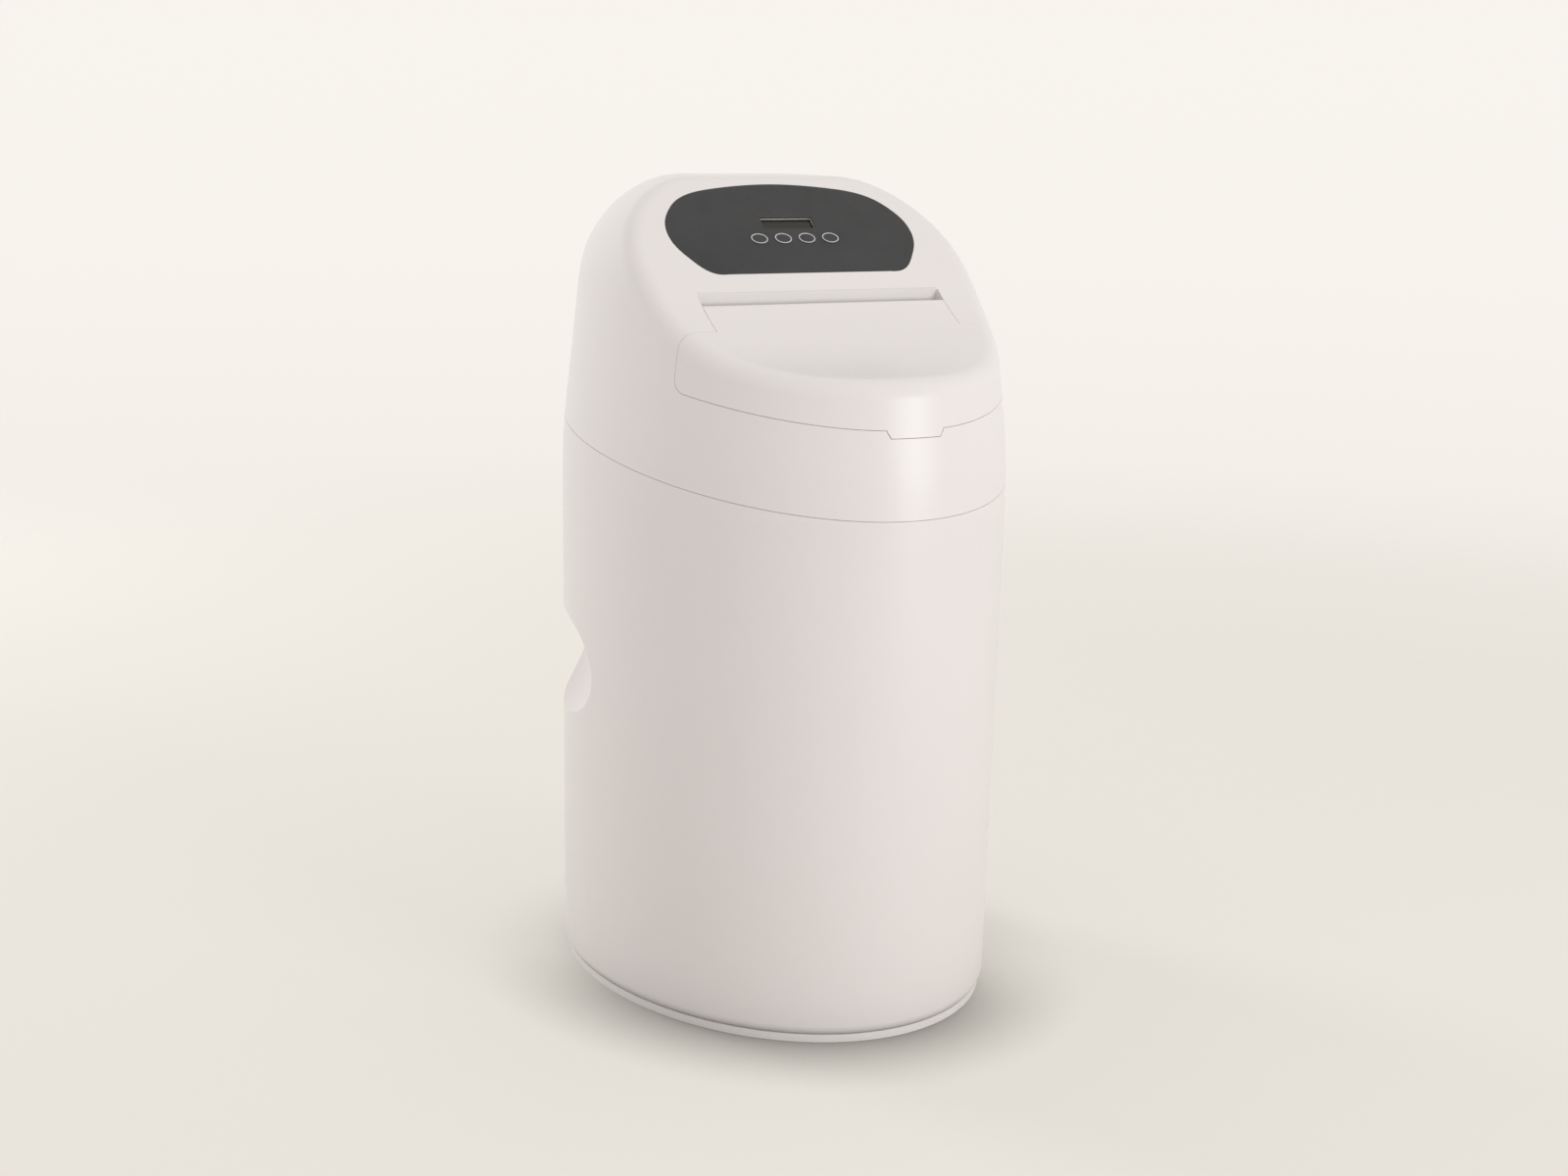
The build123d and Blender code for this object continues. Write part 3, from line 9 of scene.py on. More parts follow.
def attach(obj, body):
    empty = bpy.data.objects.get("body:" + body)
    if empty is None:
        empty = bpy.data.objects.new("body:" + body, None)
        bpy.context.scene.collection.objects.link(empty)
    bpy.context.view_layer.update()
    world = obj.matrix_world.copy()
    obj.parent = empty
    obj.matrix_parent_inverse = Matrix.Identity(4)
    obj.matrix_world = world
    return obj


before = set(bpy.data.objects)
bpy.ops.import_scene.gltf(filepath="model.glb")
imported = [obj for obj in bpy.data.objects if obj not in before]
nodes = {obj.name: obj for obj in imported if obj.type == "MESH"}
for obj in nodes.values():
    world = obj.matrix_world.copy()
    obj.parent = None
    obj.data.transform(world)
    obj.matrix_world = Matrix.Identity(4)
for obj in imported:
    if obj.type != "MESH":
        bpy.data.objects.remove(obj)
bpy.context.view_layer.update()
print("frame loaded:", len(nodes), "nodes")


# Small helpers for shader trees and meshes

def addNode(tree, kind, inputs=None, **settings):
    node = tree.nodes.new(kind)
    for key, value in settings.items():
        setattr(node, key, value)
    for key, value in (inputs or {}).items():
        node.inputs[key].default_value = value
    return node


def wire(tree, start, end):
    tree.links.new(start, end)


def calc(tree, operation, first, second=None, third=None, clamp=False):
    node = addNode(tree, "ShaderNodeMath", operation=operation, use_clamp=clamp)
    for index, value in enumerate((first, second, third)):
        if value is None:
            continue
        if isinstance(value, (int, float)):
            node.inputs[index].default_value = value
        else:
            wire(tree, value, node.inputs[index])
    return node.outputs[0]


def newGroup(name, inputs, outputs):
    group = bpy.data.node_groups.new(name, "ShaderNodeTree")
    for label, kind, value in inputs:
        socket = group.interface.new_socket(name=label, in_out="INPUT", socket_type=kind)
        if value is not None:
            socket.default_value = value
    for label, kind in outputs:
        group.interface.new_socket(name=label, in_out="OUTPUT", socket_type=kind)
    return group, addNode(group, "NodeGroupInput").outputs, addNode(group, "NodeGroupOutput").inputs


def useGroup(tree, group, vector, **values):
    node = addNode(tree, "ShaderNodeGroup", node_tree=group)
    wire(tree, vector, node.inputs["Vector"])
    for key, value in values.items():
        node.inputs[key].default_value = value
    return node.outputs


def newMaterial(name):
    material = bpy.data.materials.new(name)
    material.use_nodes = True
    tree = material.node_tree
    tree.nodes.clear()
    output = addNode(tree, "ShaderNodeOutputMaterial")
    principled = addNode(tree, "ShaderNodeBsdfPrincipled")
    wire(tree, principled.outputs[0], output.inputs["Surface"])
    place = addNode(tree, "ShaderNodeTexCoord").outputs["Object"]
    return material, tree, principled, place


def dress(material, *names):
    for name in names:
        mesh = nodes[name].data
        mesh.materials.clear()
        mesh.materials.append(material)


def finishPiece(name, mesh, material, body, smoothAngle=40):
    mesh.normal_update()
    data = bpy.data.meshes.new(name)
    mesh.to_mesh(data)
    mesh.free()
    data.materials.append(material)
    piece = bpy.data.objects.new(name, data)
    bpy.context.scene.collection.objects.link(piece)
    data.shade_smooth()
    data.set_sharp_from_angle(angle=math.radians(smoothAngle))
    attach(piece, body)
    return piece


# Effects that several finishes share

def makeMouldGrain():
    group, given, made = newGroup(
        "mouldGrain",
        [("Vector", "NodeSocketVector", None), ("Grain", "NodeSocketFloat", 1400.0),
         ("Ripple", "NodeSocketFloat", 9.0), ("Ripple Share", "NodeSocketFloat", 0.6)],
        [("Height", "NodeSocketFloat")])
    fine = addNode(group, "ShaderNodeTexNoise", {"Detail": 3.0, "Roughness": 0.6})
    wire(group, given["Vector"], fine.inputs["Vector"])
    wire(group, given["Grain"], fine.inputs["Scale"])
    slow = addNode(group, "ShaderNodeTexNoise", {"Detail": 1.0, "Roughness": 0.4})
    wire(group, given["Vector"], slow.inputs["Vector"])
    wire(group, given["Ripple"], slow.inputs["Scale"])
    wave = calc(group, "MULTIPLY", slow.outputs["Fac"], given["Ripple Share"])
    wire(group, calc(group, "ADD", fine.outputs["Fac"], wave), made["Height"])
    return group


def makeColourDrift():
    group, given, made = newGroup(
        "colourDrift",
        [("Vector", "NodeSocketVector", None), ("Clean", "NodeSocketColor", (1, 1, 1, 1)),
         ("Aged", "NodeSocketColor", (0.9, 0.9, 0.9, 1)), ("Patches", "NodeSocketFloat", 6.0),
         ("Flecks", "NodeSocketFloat", 160.0), ("Amount", "NodeSocketFloat", 0.5)],
        [("Colour", "NodeSocketColor"), ("Mask", "NodeSocketFloat")])
    patches = addNode(group, "ShaderNodeTexNoise", {"Detail": 4.0, "Roughness": 0.55})
    flecks = addNode(group, "ShaderNodeTexNoise", {"Detail": 2.0, "Roughness": 0.7})
    for noise, scale in ((patches, "Patches"), (flecks, "Flecks")):
        wire(group, given["Vector"], noise.inputs["Vector"])
        wire(group, given[scale], noise.inputs["Scale"])
    spread = addNode(group, "ShaderNodeMapRange", {"From Min": 0.35, "From Max": 0.7})
    wire(group, patches.outputs["Fac"], spread.inputs["Value"])
    speck = addNode(group, "ShaderNodeMapRange", {"From Min": 0.45, "From Max": 0.75, "To Max": 0.5})
    wire(group, flecks.outputs["Fac"], speck.inputs["Value"])
    both = calc(group, "ADD", spread.outputs[0], speck.outputs[0], clamp=True)
    mask = calc(group, "MULTIPLY", both, given["Amount"], clamp=True)
    mix = addNode(group, "ShaderNodeMix", data_type="RGBA")
    wire(group, mask, mix.inputs[0])
    wire(group, given["Clean"], mix.inputs[6])
    wire(group, given["Aged"], mix.inputs[7])
    wire(group, mix.outputs[2], made["Colour"])
    wire(group, mask, made["Mask"])
    return group


def makeHandling():
    group, given, made = newGroup(
        "handling",
        [("Vector", "NodeSocketVector", None), ("Smooth", "NodeSocketFloat", 0.3),
         ("Rough", "NodeSocketFloat", 0.45), ("Smudges", "NodeSocketFloat", 14.0)],
        [("Roughness", "NodeSocketFloat")])
    warp = addNode(group, "ShaderNodeTexNoise", {"Detail": 5.0, "Roughness": 0.65, "Distortion": 0.6})
    wire(group, given["Vector"], warp.inputs["Vector"])
    wire(group, given["Smudges"], warp.inputs["Scale"])
    spread = addNode(group, "ShaderNodeMapRange", {"From Min": 0.3, "From Max": 0.72})
    wire(group, warp.outputs["Fac"], spread.inputs["Value"])
    wire(group, given["Smooth"], spread.inputs["To Min"])
    wire(group, given["Rough"], spread.inputs["To Max"])
    wire(group, spread.outputs[0], made["Roughness"])
    return group


def makeFloorDust():
    group, given, made = newGroup(
        "floorDust",
        [("Vector", "NodeSocketVector", None), ("Height", "NodeSocketFloat", 0.05),
         ("Amount", "NodeSocketFloat", 0.3)],
        [("Mask", "NodeSocketFloat")])
    split = addNode(group, "ShaderNodeSeparateXYZ")
    wire(group, given["Vector"], split.inputs[0])
    fade = calc(group, "DIVIDE", split.outputs["Z"], given["Height"])
    near = calc(group, "SUBTRACT", 1.0, fade, clamp=True)
    blotch = addNode(group, "ShaderNodeTexNoise", {"Scale": 60.0, "Detail": 5.0, "Roughness": 0.7})
    wire(group, given["Vector"], blotch.inputs["Vector"])
    strength = calc(group, "MULTIPLY", calc(group, "POWER", near, 1.8), blotch.outputs["Fac"])
    wire(group, calc(group, "MULTIPLY", strength, given["Amount"], clamp=True), made["Mask"])
    return group


def seenDirectly(tree):
    path = addNode(tree, "ShaderNodeLightPath")
    seen = calc(tree, "MAXIMUM", path.outputs["Is Camera Ray"], path.outputs["Is Glossy Ray"])
    return calc(tree, "MAXIMUM", seen, path.outputs["Is Transmission Ray"])


mouldGrain = makeMouldGrain()
colourDrift = makeColourDrift()
handling = makeHandling()
floorDust = makeFloorDust()
print("shared effects made")


# Moulded plastics: one maker, with the values of each finish beside its nodes

dustColour = (0.5, 0.46, 0.4)
# Painted shade: a box around the hinge groove where the cover's colour is darkened, standing in for the
# shadow inside the recess
hingeGroovePaintedShade = {"halfWidth": 0.1035, "Y": (-0.043, -0.033), "Z": (0.532, 0.5537), "soft": 0.0012,
               "shade": 0.8}


def paintedGrooveShadeMask(tree, place, grooveShade):
    split = addNode(tree, "ShaderNodeSeparateXYZ")
    wire(tree, place, split.inputs[0])
    across = calc(tree, "ABSOLUTE", split.outputs["X"])
    mask = calc(tree, "LESS_THAN", across, grooveShade["halfWidth"])
    for axis in ("Y", "Z"):
        low, high = grooveShade[axis]
        above = calc(tree, "SUBTRACT", split.outputs[axis], low)
        below = calc(tree, "SUBTRACT", high, split.outputs[axis])
        after = calc(tree, "DIVIDE", above, grooveShade["soft"], clamp=True)
        before = calc(tree, "DIVIDE", below, grooveShade["soft"], clamp=True)
        mask = calc(tree, "MULTIPLY", mask, calc(tree, "MULTIPLY", after, before))
    return mask


def mouldedPlastic(name, clean, aged, drift=0.5, patches=6.0, smooth=0.3, rough=0.45, smudges=14.0,
                   grain=1400.0, grainDepth=0.00004, ripple=9.0, rippleShare=0.6, specular=0.5,
                   dustHeight=None, dustAmount=0.3, grooveShade=None):
    material, tree, principled, place = newMaterial(name)
    shade = useGroup(tree, colourDrift, place, Clean=(*clean, 1), Aged=(*aged, 1), Patches=patches,
                     Amount=drift)
    colour = shade["Colour"]
    if dustHeight:
        dust = useGroup(tree, floorDust, place, Height=dustHeight, Amount=dustAmount)
        settle = addNode(tree, "ShaderNodeMix", data_type="RGBA")
        settle.inputs[7].default_value = (*dustColour, 1)
        wire(tree, dust["Mask"], settle.inputs[0])
        wire(tree, colour, settle.inputs[6])
        colour = settle.outputs[2]
    # Painted shade in the hinge groove: the colour is darkened to a fraction of the clean colour inside the
    # groove box
    if grooveShade:
        shadow = addNode(tree, "ShaderNodeMix", data_type="RGBA")
        shadow.inputs[7].default_value = (*[grooveShade["shade"] * c for c in clean], 1)
        wire(tree, paintedGrooveShadeMask(tree, place, grooveShade), shadow.inputs[0])
        wire(tree, colour, shadow.inputs[6])
        colour = shadow.outputs[2]
    wire(tree, colour, principled.inputs["Base Color"])
    touch = useGroup(tree, handling, place, Smooth=smooth, Rough=rough, Smudges=smudges)
    wire(tree, touch["Roughness"], principled.inputs["Roughness"])
    waves = {"Grain": grain, "Ripple": ripple, "Ripple Share": rippleShare}
    texture = useGroup(tree, mouldGrain, place, **waves)
    bump = addNode(tree, "ShaderNodeBump", {"Strength": 1.0, "Distance": grainDepth})
    wire(tree, texture["Height"], bump.inputs["Height"])
    wire(tree, bump.outputs[0], principled.inputs["Normal"])
    principled.inputs["Specular IOR Level"].default_value = specular
    return material


shellLook = {"clean": (0.83, 0.797, 0.785), "aged": (0.79, 0.75, 0.725), "drift": 0.3, "patches": 4.0,
             "smooth": 0.3, "rough": 0.33, "smudges": 5.0, "grain": 1500.0, "grainDepth": 0.000008,
             "ripple": 5.0, "rippleShare": 3.0}
shellWhite = mouldedPlastic("shellWhite", **shellLook, dustHeight=0.03, dustAmount=0.3)
dress(shellWhite, "cabinet", "salt_lid")

coverWhite = mouldedPlastic("coverWhite", **shellLook, grooveShade=hingeGroovePaintedShade)
dress(coverWhite, "top_cover")

plinthWhite = mouldedPlastic(
    "plinthWhite", clean=(0.88, 0.86, 0.835), aged=(0.83, 0.8, 0.765), drift=0.3, smooth=0.4, rough=0.55,
    grainDepth=0.00002, dustHeight=0.02, dustAmount=0.15)
dress(plinthWhite, "base_plinth")

overlayFilm = mouldedPlastic(
    "overlayFilm", clean=(0.036, 0.0365, 0.038), aged=(0.046, 0.046, 0.048), drift=0.8, patches=28.0,
    smooth=0.42, rough=0.56, smudges=26.0, grain=2600.0, grainDepth=0.00003, rippleShare=0.8, ripple=40.0,
    specular=0.3)
dress(overlayFilm, "control_overlay")

keyCap = mouldedPlastic(
    "keyCap", clean=(0.04, 0.04, 0.044), aged=(0.052, 0.052, 0.056), patches=90.0, smooth=0.45, rough=0.6,
    grain=2600.0, grainDepth=0.00003, rippleShare=0.4, specular=0.3)
dress(keyCap, "key_1", "key_2", "key_3", "key_4")

displayPane = mouldedPlastic(
    "displayPane", clean=(0.026, 0.024, 0.018), aged=(0.019, 0.018, 0.014), drift=0.9, patches=45.0,
    smooth=0.12, rough=0.24, smudges=90.0, grainDepth=0.000004, specular=0.3)
dress(displayPane, "display_module")

valveBlack = mouldedPlastic(
    "valveBlack", clean=(0.03, 0.031, 0.033), aged=(0.06, 0.06, 0.06), drift=0.5, patches=30.0,
    smooth=0.38, rough=0.6, grain=900.0, grainDepth=0.00006)
dress(valveBlack, "valve_body", "bore_cap", "injector_cap", "bypass_body", "drive_plate", "drain_elbow",
      "brine_valve")

plugBlack = mouldedPlastic(
    "plugBlack", clean=(0.022, 0.022, 0.024), aged=(0.045, 0.044, 0.043), patches=60.0, smooth=0.2,
    rough=0.38, smudges=50.0, grainDepth=0.00001)
dress(plugBlack, "power_socket", "key_switches", "meter_cap")

bootBlack = mouldedPlastic(
    "bootBlack", clean=(0.045, 0.045, 0.048), aged=(0.085, 0.08, 0.075), drift=0.7, smooth=0.5, rough=0.72,
    grain=700.0, grainDepth=0.00009, dustHeight=0.06, dustAmount=0.7)
dress(bootBlack, "tank_boot")

trayGrey = mouldedPlastic(
    "trayGrey", clean=(0.29, 0.295, 0.3), aged=(0.23, 0.235, 0.24), patches=14.0, smooth=0.4, rough=0.58,
    grain=1100.0, grainDepth=0.00005)
dress(trayGrey, "control_box")

strainerGrey = mouldedPlastic(
    "strainerGrey", clean=(0.37, 0.38, 0.39), aged=(0.3, 0.27, 0.22), drift=0.7, patches=22.0, smooth=0.34,
    rough=0.52, grain=1300.0, grainDepth=0.00004)
dress(strainerGrey, "lower_distributor", "upper_distributor", "air_check", "overflow_elbow", "overflow_nut")

guardGrey = mouldedPlastic(
    "guardGrey", clean=(0.55, 0.56, 0.57), aged=(0.47, 0.47, 0.46), patches=9.0, smooth=0.3, rough=0.5,
    grain=1000.0, grainDepth=0.00004)
dress(guardGrey, "salt_guard")

wetWhite = mouldedPlastic(
    "wetWhite", clean=(0.79, 0.79, 0.77), aged=(0.66, 0.63, 0.55), drift=0.65, patches=12.0, smooth=0.26,
    rough=0.5, grain=1200.0, grainDepth=0.00003, dustHeight=0.12, dustAmount=0.45)
dress(wetWhite, "brine_well", "brine_well_cap", "salt_grid", "pickup_tube", "riser_tube")

floatWhite = mouldedPlastic(
    "floatWhite", clean=(0.86, 0.86, 0.84), aged=(0.75, 0.73, 0.66), drift=0.6, patches=40.0, smooth=0.5,
    rough=0.75, grain=480.0, grainDepth=0.00025, rippleShare=0.2)
dress(floatWhite, "brine_float")

gearWhite = mouldedPlastic(
    "gearWhite", clean=(0.8, 0.79, 0.74), aged=(0.62, 0.58, 0.48), drift=0.5, patches=70.0, smooth=0.22,
    rough=0.42, grainDepth=0.00001)
dress(gearWhite, "drive_gear", "motor_pinion", "piston")

handleRed = mouldedPlastic(
    "handleRed", clean=(0.47, 0.022, 0.015), aged=(0.36, 0.035, 0.025), patches=45.0, smooth=0.24,
    rough=0.42)
dress(handleRed, "bypass_rotor_inlet")

handleBlue = mouldedPlastic(
    "handleBlue", clean=(0.022, 0.085, 0.38), aged=(0.035, 0.09, 0.27), patches=45.0, smooth=0.24,
    rough=0.42)
dress(handleBlue, "bypass_rotor_outlet", "meter_turbine")
print("plastic finishes made")


# Finishes with a pattern of their own

woundShell = {"middle": (0.0, 0.075), "pitch": 260.0, "starts": 22.0, "depth": 0.00016,
              "gloss": (0.035, 0.105, 0.23), "under": (0.075, 0.18, 0.33), "bandShare": 0.3,
              "coat": 0.7, "coatRoughness": 0.12}


def makeWoundShell():
    material, tree, principled, place = newMaterial("woundShell")
    split = addNode(tree, "ShaderNodeSeparateXYZ")
    wire(tree, place, split.inputs[0])
    across = calc(tree, "SUBTRACT", split.outputs["X"], woundShell["middle"][0])
    along = calc(tree, "SUBTRACT", split.outputs["Y"], woundShell["middle"][1])
    turn = calc(tree, "MULTIPLY", calc(tree, "ARCTAN2", along, across), woundShell["starts"])
    rise = calc(tree, "MULTIPLY", split.outputs["Z"], woundShell["pitch"])
    left = calc(tree, "SINE", calc(tree, "ADD", rise, turn))
    right = calc(tree, "SINE", calc(tree, "SUBTRACT", rise, turn))
    weave = calc(tree, "MULTIPLY_ADD", calc(tree, "MAXIMUM", left, right), 0.5, 0.5, clamp=True)
    shade = useGroup(tree, colourDrift, place, Clean=(*woundShell["gloss"], 1),
                     Aged=(*woundShell["under"], 1), Patches=18.0, Amount=0.55)
    bands = addNode(tree, "ShaderNodeMix", data_type="RGBA")
    wire(tree, calc(tree, "MULTIPLY", weave, woundShell["bandShare"]), bands.inputs[0])
    wire(tree, shade["Colour"], bands.inputs[6])
    bands.inputs[7].default_value = (*woundShell["under"], 1)
    wire(tree, bands.outputs[2], principled.inputs["Base Color"])
    touch = useGroup(tree, handling, place, Smooth=0.25, Rough=0.42, Smudges=20.0)
    wire(tree, touch["Roughness"], principled.inputs["Roughness"])
    bump = addNode(tree, "ShaderNodeBump", {"Strength": 0.8, "Distance": woundShell["depth"]})
    wire(tree, weave, bump.inputs["Height"])
    wire(tree, bump.outputs[0], principled.inputs["Normal"])
    principled.inputs["Coat Weight"].default_value = woundShell["coat"]
    principled.inputs["Coat Roughness"].default_value = woundShell["coatRoughness"]
    return material


beadBed = {"scale": 1150.0, "pale": (0.56, 0.3, 0.09), "deep": (0.2, 0.075, 0.018), "depth": 0.0005,
           "roughness": 0.22}


def makeBeadBed():
    material, tree, principled, place = newMaterial("beadBed")
    beads = addNode(tree, "ShaderNodeTexVoronoi", {"Scale": beadBed["scale"]})
    wire(tree, place, beads.inputs["Vector"])
    tint = addNode(tree, "ShaderNodeSeparateColor")
    wire(tree, beads.outputs["Color"], tint.inputs[0])
    mix = addNode(tree, "ShaderNodeMix", data_type="RGBA")
    mix.inputs[6].default_value = (*beadBed["deep"], 1)
    mix.inputs[7].default_value = (*beadBed["pale"], 1)
    wire(tree, tint.outputs["Red"], mix.inputs[0])
    wire(tree, mix.outputs[2], principled.inputs["Base Color"])
    dome = calc(tree, "SUBTRACT", 1.0, beads.outputs["Distance"])
    bump = addNode(tree, "ShaderNodeBump", {"Strength": 1.0, "Distance": beadBed["depth"]})
    wire(tree, dome, bump.inputs["Height"])
    wire(tree, bump.outputs[0], principled.inputs["Normal"])
    principled.inputs["Roughness"].default_value = beadBed["roughness"]
    return material


def brushedMetal(name, colour, stain, stretch, roughness, depth=0.00002):
    material, tree, principled, place = newMaterial(name)
    along = addNode(tree, "ShaderNodeMapping", {"Scale": stretch})
    wire(tree, place, along.inputs["Vector"])
    lines = addNode(tree, "ShaderNodeTexNoise", {"Scale": 60.0, "Detail": 6.0, "Roughness": 0.7})
    wire(tree, along.outputs[0], lines.inputs["Vector"])
    shade = useGroup(tree, colourDrift, place, Clean=(*colour, 1), Aged=(*stain, 1), Patches=70.0,
                     Amount=0.5)
    wire(tree, shade["Colour"], principled.inputs["Base Color"])
    spread = addNode(tree, "ShaderNodeMapRange", {"To Min": roughness[0], "To Max": roughness[1]})
    wire(tree, lines.outputs["Fac"], spread.inputs["Value"])
    wire(tree, spread.outputs[0], principled.inputs["Roughness"])
    bump = addNode(tree, "ShaderNodeBump", {"Strength": 0.7, "Distance": depth})
    wire(tree, lines.outputs["Fac"], bump.inputs["Height"])
    wire(tree, bump.outputs[0], principled.inputs["Normal"])
    principled.inputs["Metallic"].default_value = 1.0
    return material


threadCut = {"start": 0.2105, "pitch": 0.0018, "depth": 0.0009, "clean": (0.032, 0.033, 0.035),
             "aged": (0.07, 0.07, 0.07)}


def makeThreaded():
    material, tree, principled, place = newMaterial("threadedBlack")
    split = addNode(tree, "ShaderNodeSeparateXYZ")
    wire(tree, place, split.inputs[0])
    turns = calc(tree, "MULTIPLY", split.outputs["Y"], 2 * math.pi / threadCut["pitch"])
    wave = calc(tree, "MULTIPLY_ADD", calc(tree, "SINE", turns), 0.5, 0.5)
    onThread = calc(tree, "GREATER_THAN", split.outputs["Y"], threadCut["start"])
    height = calc(tree, "MULTIPLY", wave, onThread)
    shade = useGroup(tree, colourDrift, place, Clean=(*threadCut["clean"], 1),
                     Aged=(*threadCut["aged"], 1), Patches=50.0, Amount=0.5)
    wire(tree, shade["Colour"], principled.inputs["Base Color"])
    touch = useGroup(tree, handling, place, Smooth=0.3, Rough=0.5, Smudges=40.0)
    wire(tree, touch["Roughness"], principled.inputs["Roughness"])
    bump = addNode(tree, "ShaderNodeBump", {"Strength": 1.0, "Distance": threadCut["depth"]})
    wire(tree, height, bump.inputs["Height"])
    wire(tree, bump.outputs[0], principled.inputs["Normal"])
    return material


clearHose = {"clean": (0.82, 0.85, 0.84), "aged": (0.74, 0.72, 0.62), "passes": 0.55, "bending": 1.42}


def makeClearHose():
    material, tree, principled, place = newMaterial("clearHose")
    shade = useGroup(tree, colourDrift, place, Clean=(*clearHose["clean"], 1),
                     Aged=(*clearHose["aged"], 1), Patches=30.0, Amount=0.6)
    wire(tree, shade["Colour"], principled.inputs["Base Color"])
    touch = useGroup(tree, handling, place, Smooth=0.12, Rough=0.3, Smudges=60.0)
    wire(tree, touch["Roughness"], principled.inputs["Roughness"])
    principled.inputs["Transmission Weight"].default_value = clearHose["passes"]
    principled.inputs["IOR"].default_value = clearHose["bending"]
    return material


boardPattern = {"mask": (0.02, 0.13, 0.055), "trace": (0.045, 0.24, 0.1), "pad": (0.62, 0.6, 0.55),
                "traces": 190.0, "pads": 330.0, "traceRandom": 0.75, "padRandom": 0.35, "edge": 0.16,
                "height": 0.00008, "roughness": 0.28}


def makeBoardMask():
    material, tree, principled, place = newMaterial("boardMask")
    grid = {"Scale": boardPattern["traces"], "Randomness": boardPattern["traceRandom"]}
    cells = addNode(tree, "ShaderNodeTexVoronoi", grid, distance="CHEBYCHEV", feature="F2")
    nearer = addNode(tree, "ShaderNodeTexVoronoi", grid, distance="CHEBYCHEV", feature="F1")
    dots = addNode(tree, "ShaderNodeTexVoronoi",
                   {"Scale": boardPattern["pads"], "Randomness": boardPattern["padRandom"]})
    for texture in (cells, nearer, dots):
        wire(tree, place, texture.inputs["Vector"])
    gap = calc(tree, "SUBTRACT", cells.outputs["Distance"], nearer.outputs["Distance"])
    onTrace = calc(tree, "LESS_THAN", gap, boardPattern["edge"])
    onPad = calc(tree, "LESS_THAN", dots.outputs["Distance"], boardPattern["edge"])
    copper = addNode(tree, "ShaderNodeMix", data_type="RGBA")
    copper.inputs[6].default_value = (*boardPattern["mask"], 1)
    copper.inputs[7].default_value = (*boardPattern["trace"], 1)
    wire(tree, onTrace, copper.inputs[0])
    tin = addNode(tree, "ShaderNodeMix", data_type="RGBA")
    tin.inputs[7].default_value = (*boardPattern["pad"], 1)
    wire(tree, onPad, tin.inputs[0])
    wire(tree, copper.outputs[2], tin.inputs[6])
    wire(tree, tin.outputs[2], principled.inputs["Base Color"])
    bump = addNode(tree, "ShaderNodeBump", {"Strength": 0.6, "Distance": boardPattern["height"]})
    wire(tree, calc(tree, "ADD", onTrace, onPad), bump.inputs["Height"])
    wire(tree, bump.outputs[0], principled.inputs["Normal"])
    principled.inputs["Roughness"].default_value = boardPattern["roughness"]
    return material


def softRubber(name, clean, aged):
    material, tree, principled, place = newMaterial(name)
    shade = useGroup(tree, colourDrift, place, Clean=(*clean, 1), Aged=(*aged, 1), Patches=90.0, Amount=0.7)
    wire(tree, shade["Colour"], principled.inputs["Base Color"])
    texture = useGroup(tree, mouldGrain, place, Grain=2200.0)
    bump = addNode(tree, "ShaderNodeBump", {"Strength": 1.0, "Distance": 0.00003})
    wire(tree, texture["Height"], bump.inputs["Height"])
    wire(tree, bump.outputs[0], principled.inputs["Normal"])
    principled.inputs["Roughness"].default_value = 0.7
    principled.inputs["Sheen Weight"].default_value = 0.2
    return material


dress(makeWoundShell(), "resin_tank")
dress(makeBeadBed(), "resin_bed")
zincPlate = brushedMetal("zincPlate", (0.62, 0.62, 0.6), (0.5, 0.47, 0.4), (1.0, 12.0, 12.0), (0.22, 0.42))
dress(zincPlate, "lid_hinge_pins", "board_screws")
drawnCan = brushedMetal("drawnCan", (0.52, 0.52, 0.53), (0.42, 0.41, 0.4), (14.0, 1.0, 14.0), (0.26, 0.48))
dress(drawnCan, "drive_motor")
dress(makeThreaded(), "tail_connectors", "tail_nuts")
dress(makeClearHose(), "brine_line")
dress(makeBoardMask(), "control_board")
dress(softRubber("sealRubber", (0.02, 0.02, 0.021), (0.05, 0.05, 0.05)), "seal_rings")
print("patterned finishes made")


# Control face: its plane, for pieces that lie on it

controlFace = {"origin": (0.0, -0.03476, 0.55425), "slope": 41.0}


def onControlFace(across, up, out=0.0):
    slope = math.radians(controlFace["slope"])
    origin = Vector(controlFace["origin"])
    upSlope = Vector((0.0, math.cos(slope), math.sin(slope)))
    outward = Vector((0.0, -math.sin(slope), math.cos(slope)))
    return origin + Vector((across, 0.0, 0.0)) + upSlope * up + outward * out


def faceMatrix(across, up, out=0.0):
    turn = Matrix.Rotation(math.radians(controlFace["slope"]), 4, "X")
    return Matrix.Translation(onControlFace(across, up, out)) @ turn


keyRing = {"count": 4, "at": 0.054, "pitch": 0.0207, "inner": (0.00625, 0.00445), "outer": (0.0071, 0.0053),
           "proud": 0.0004, "thickness": 0.00009}


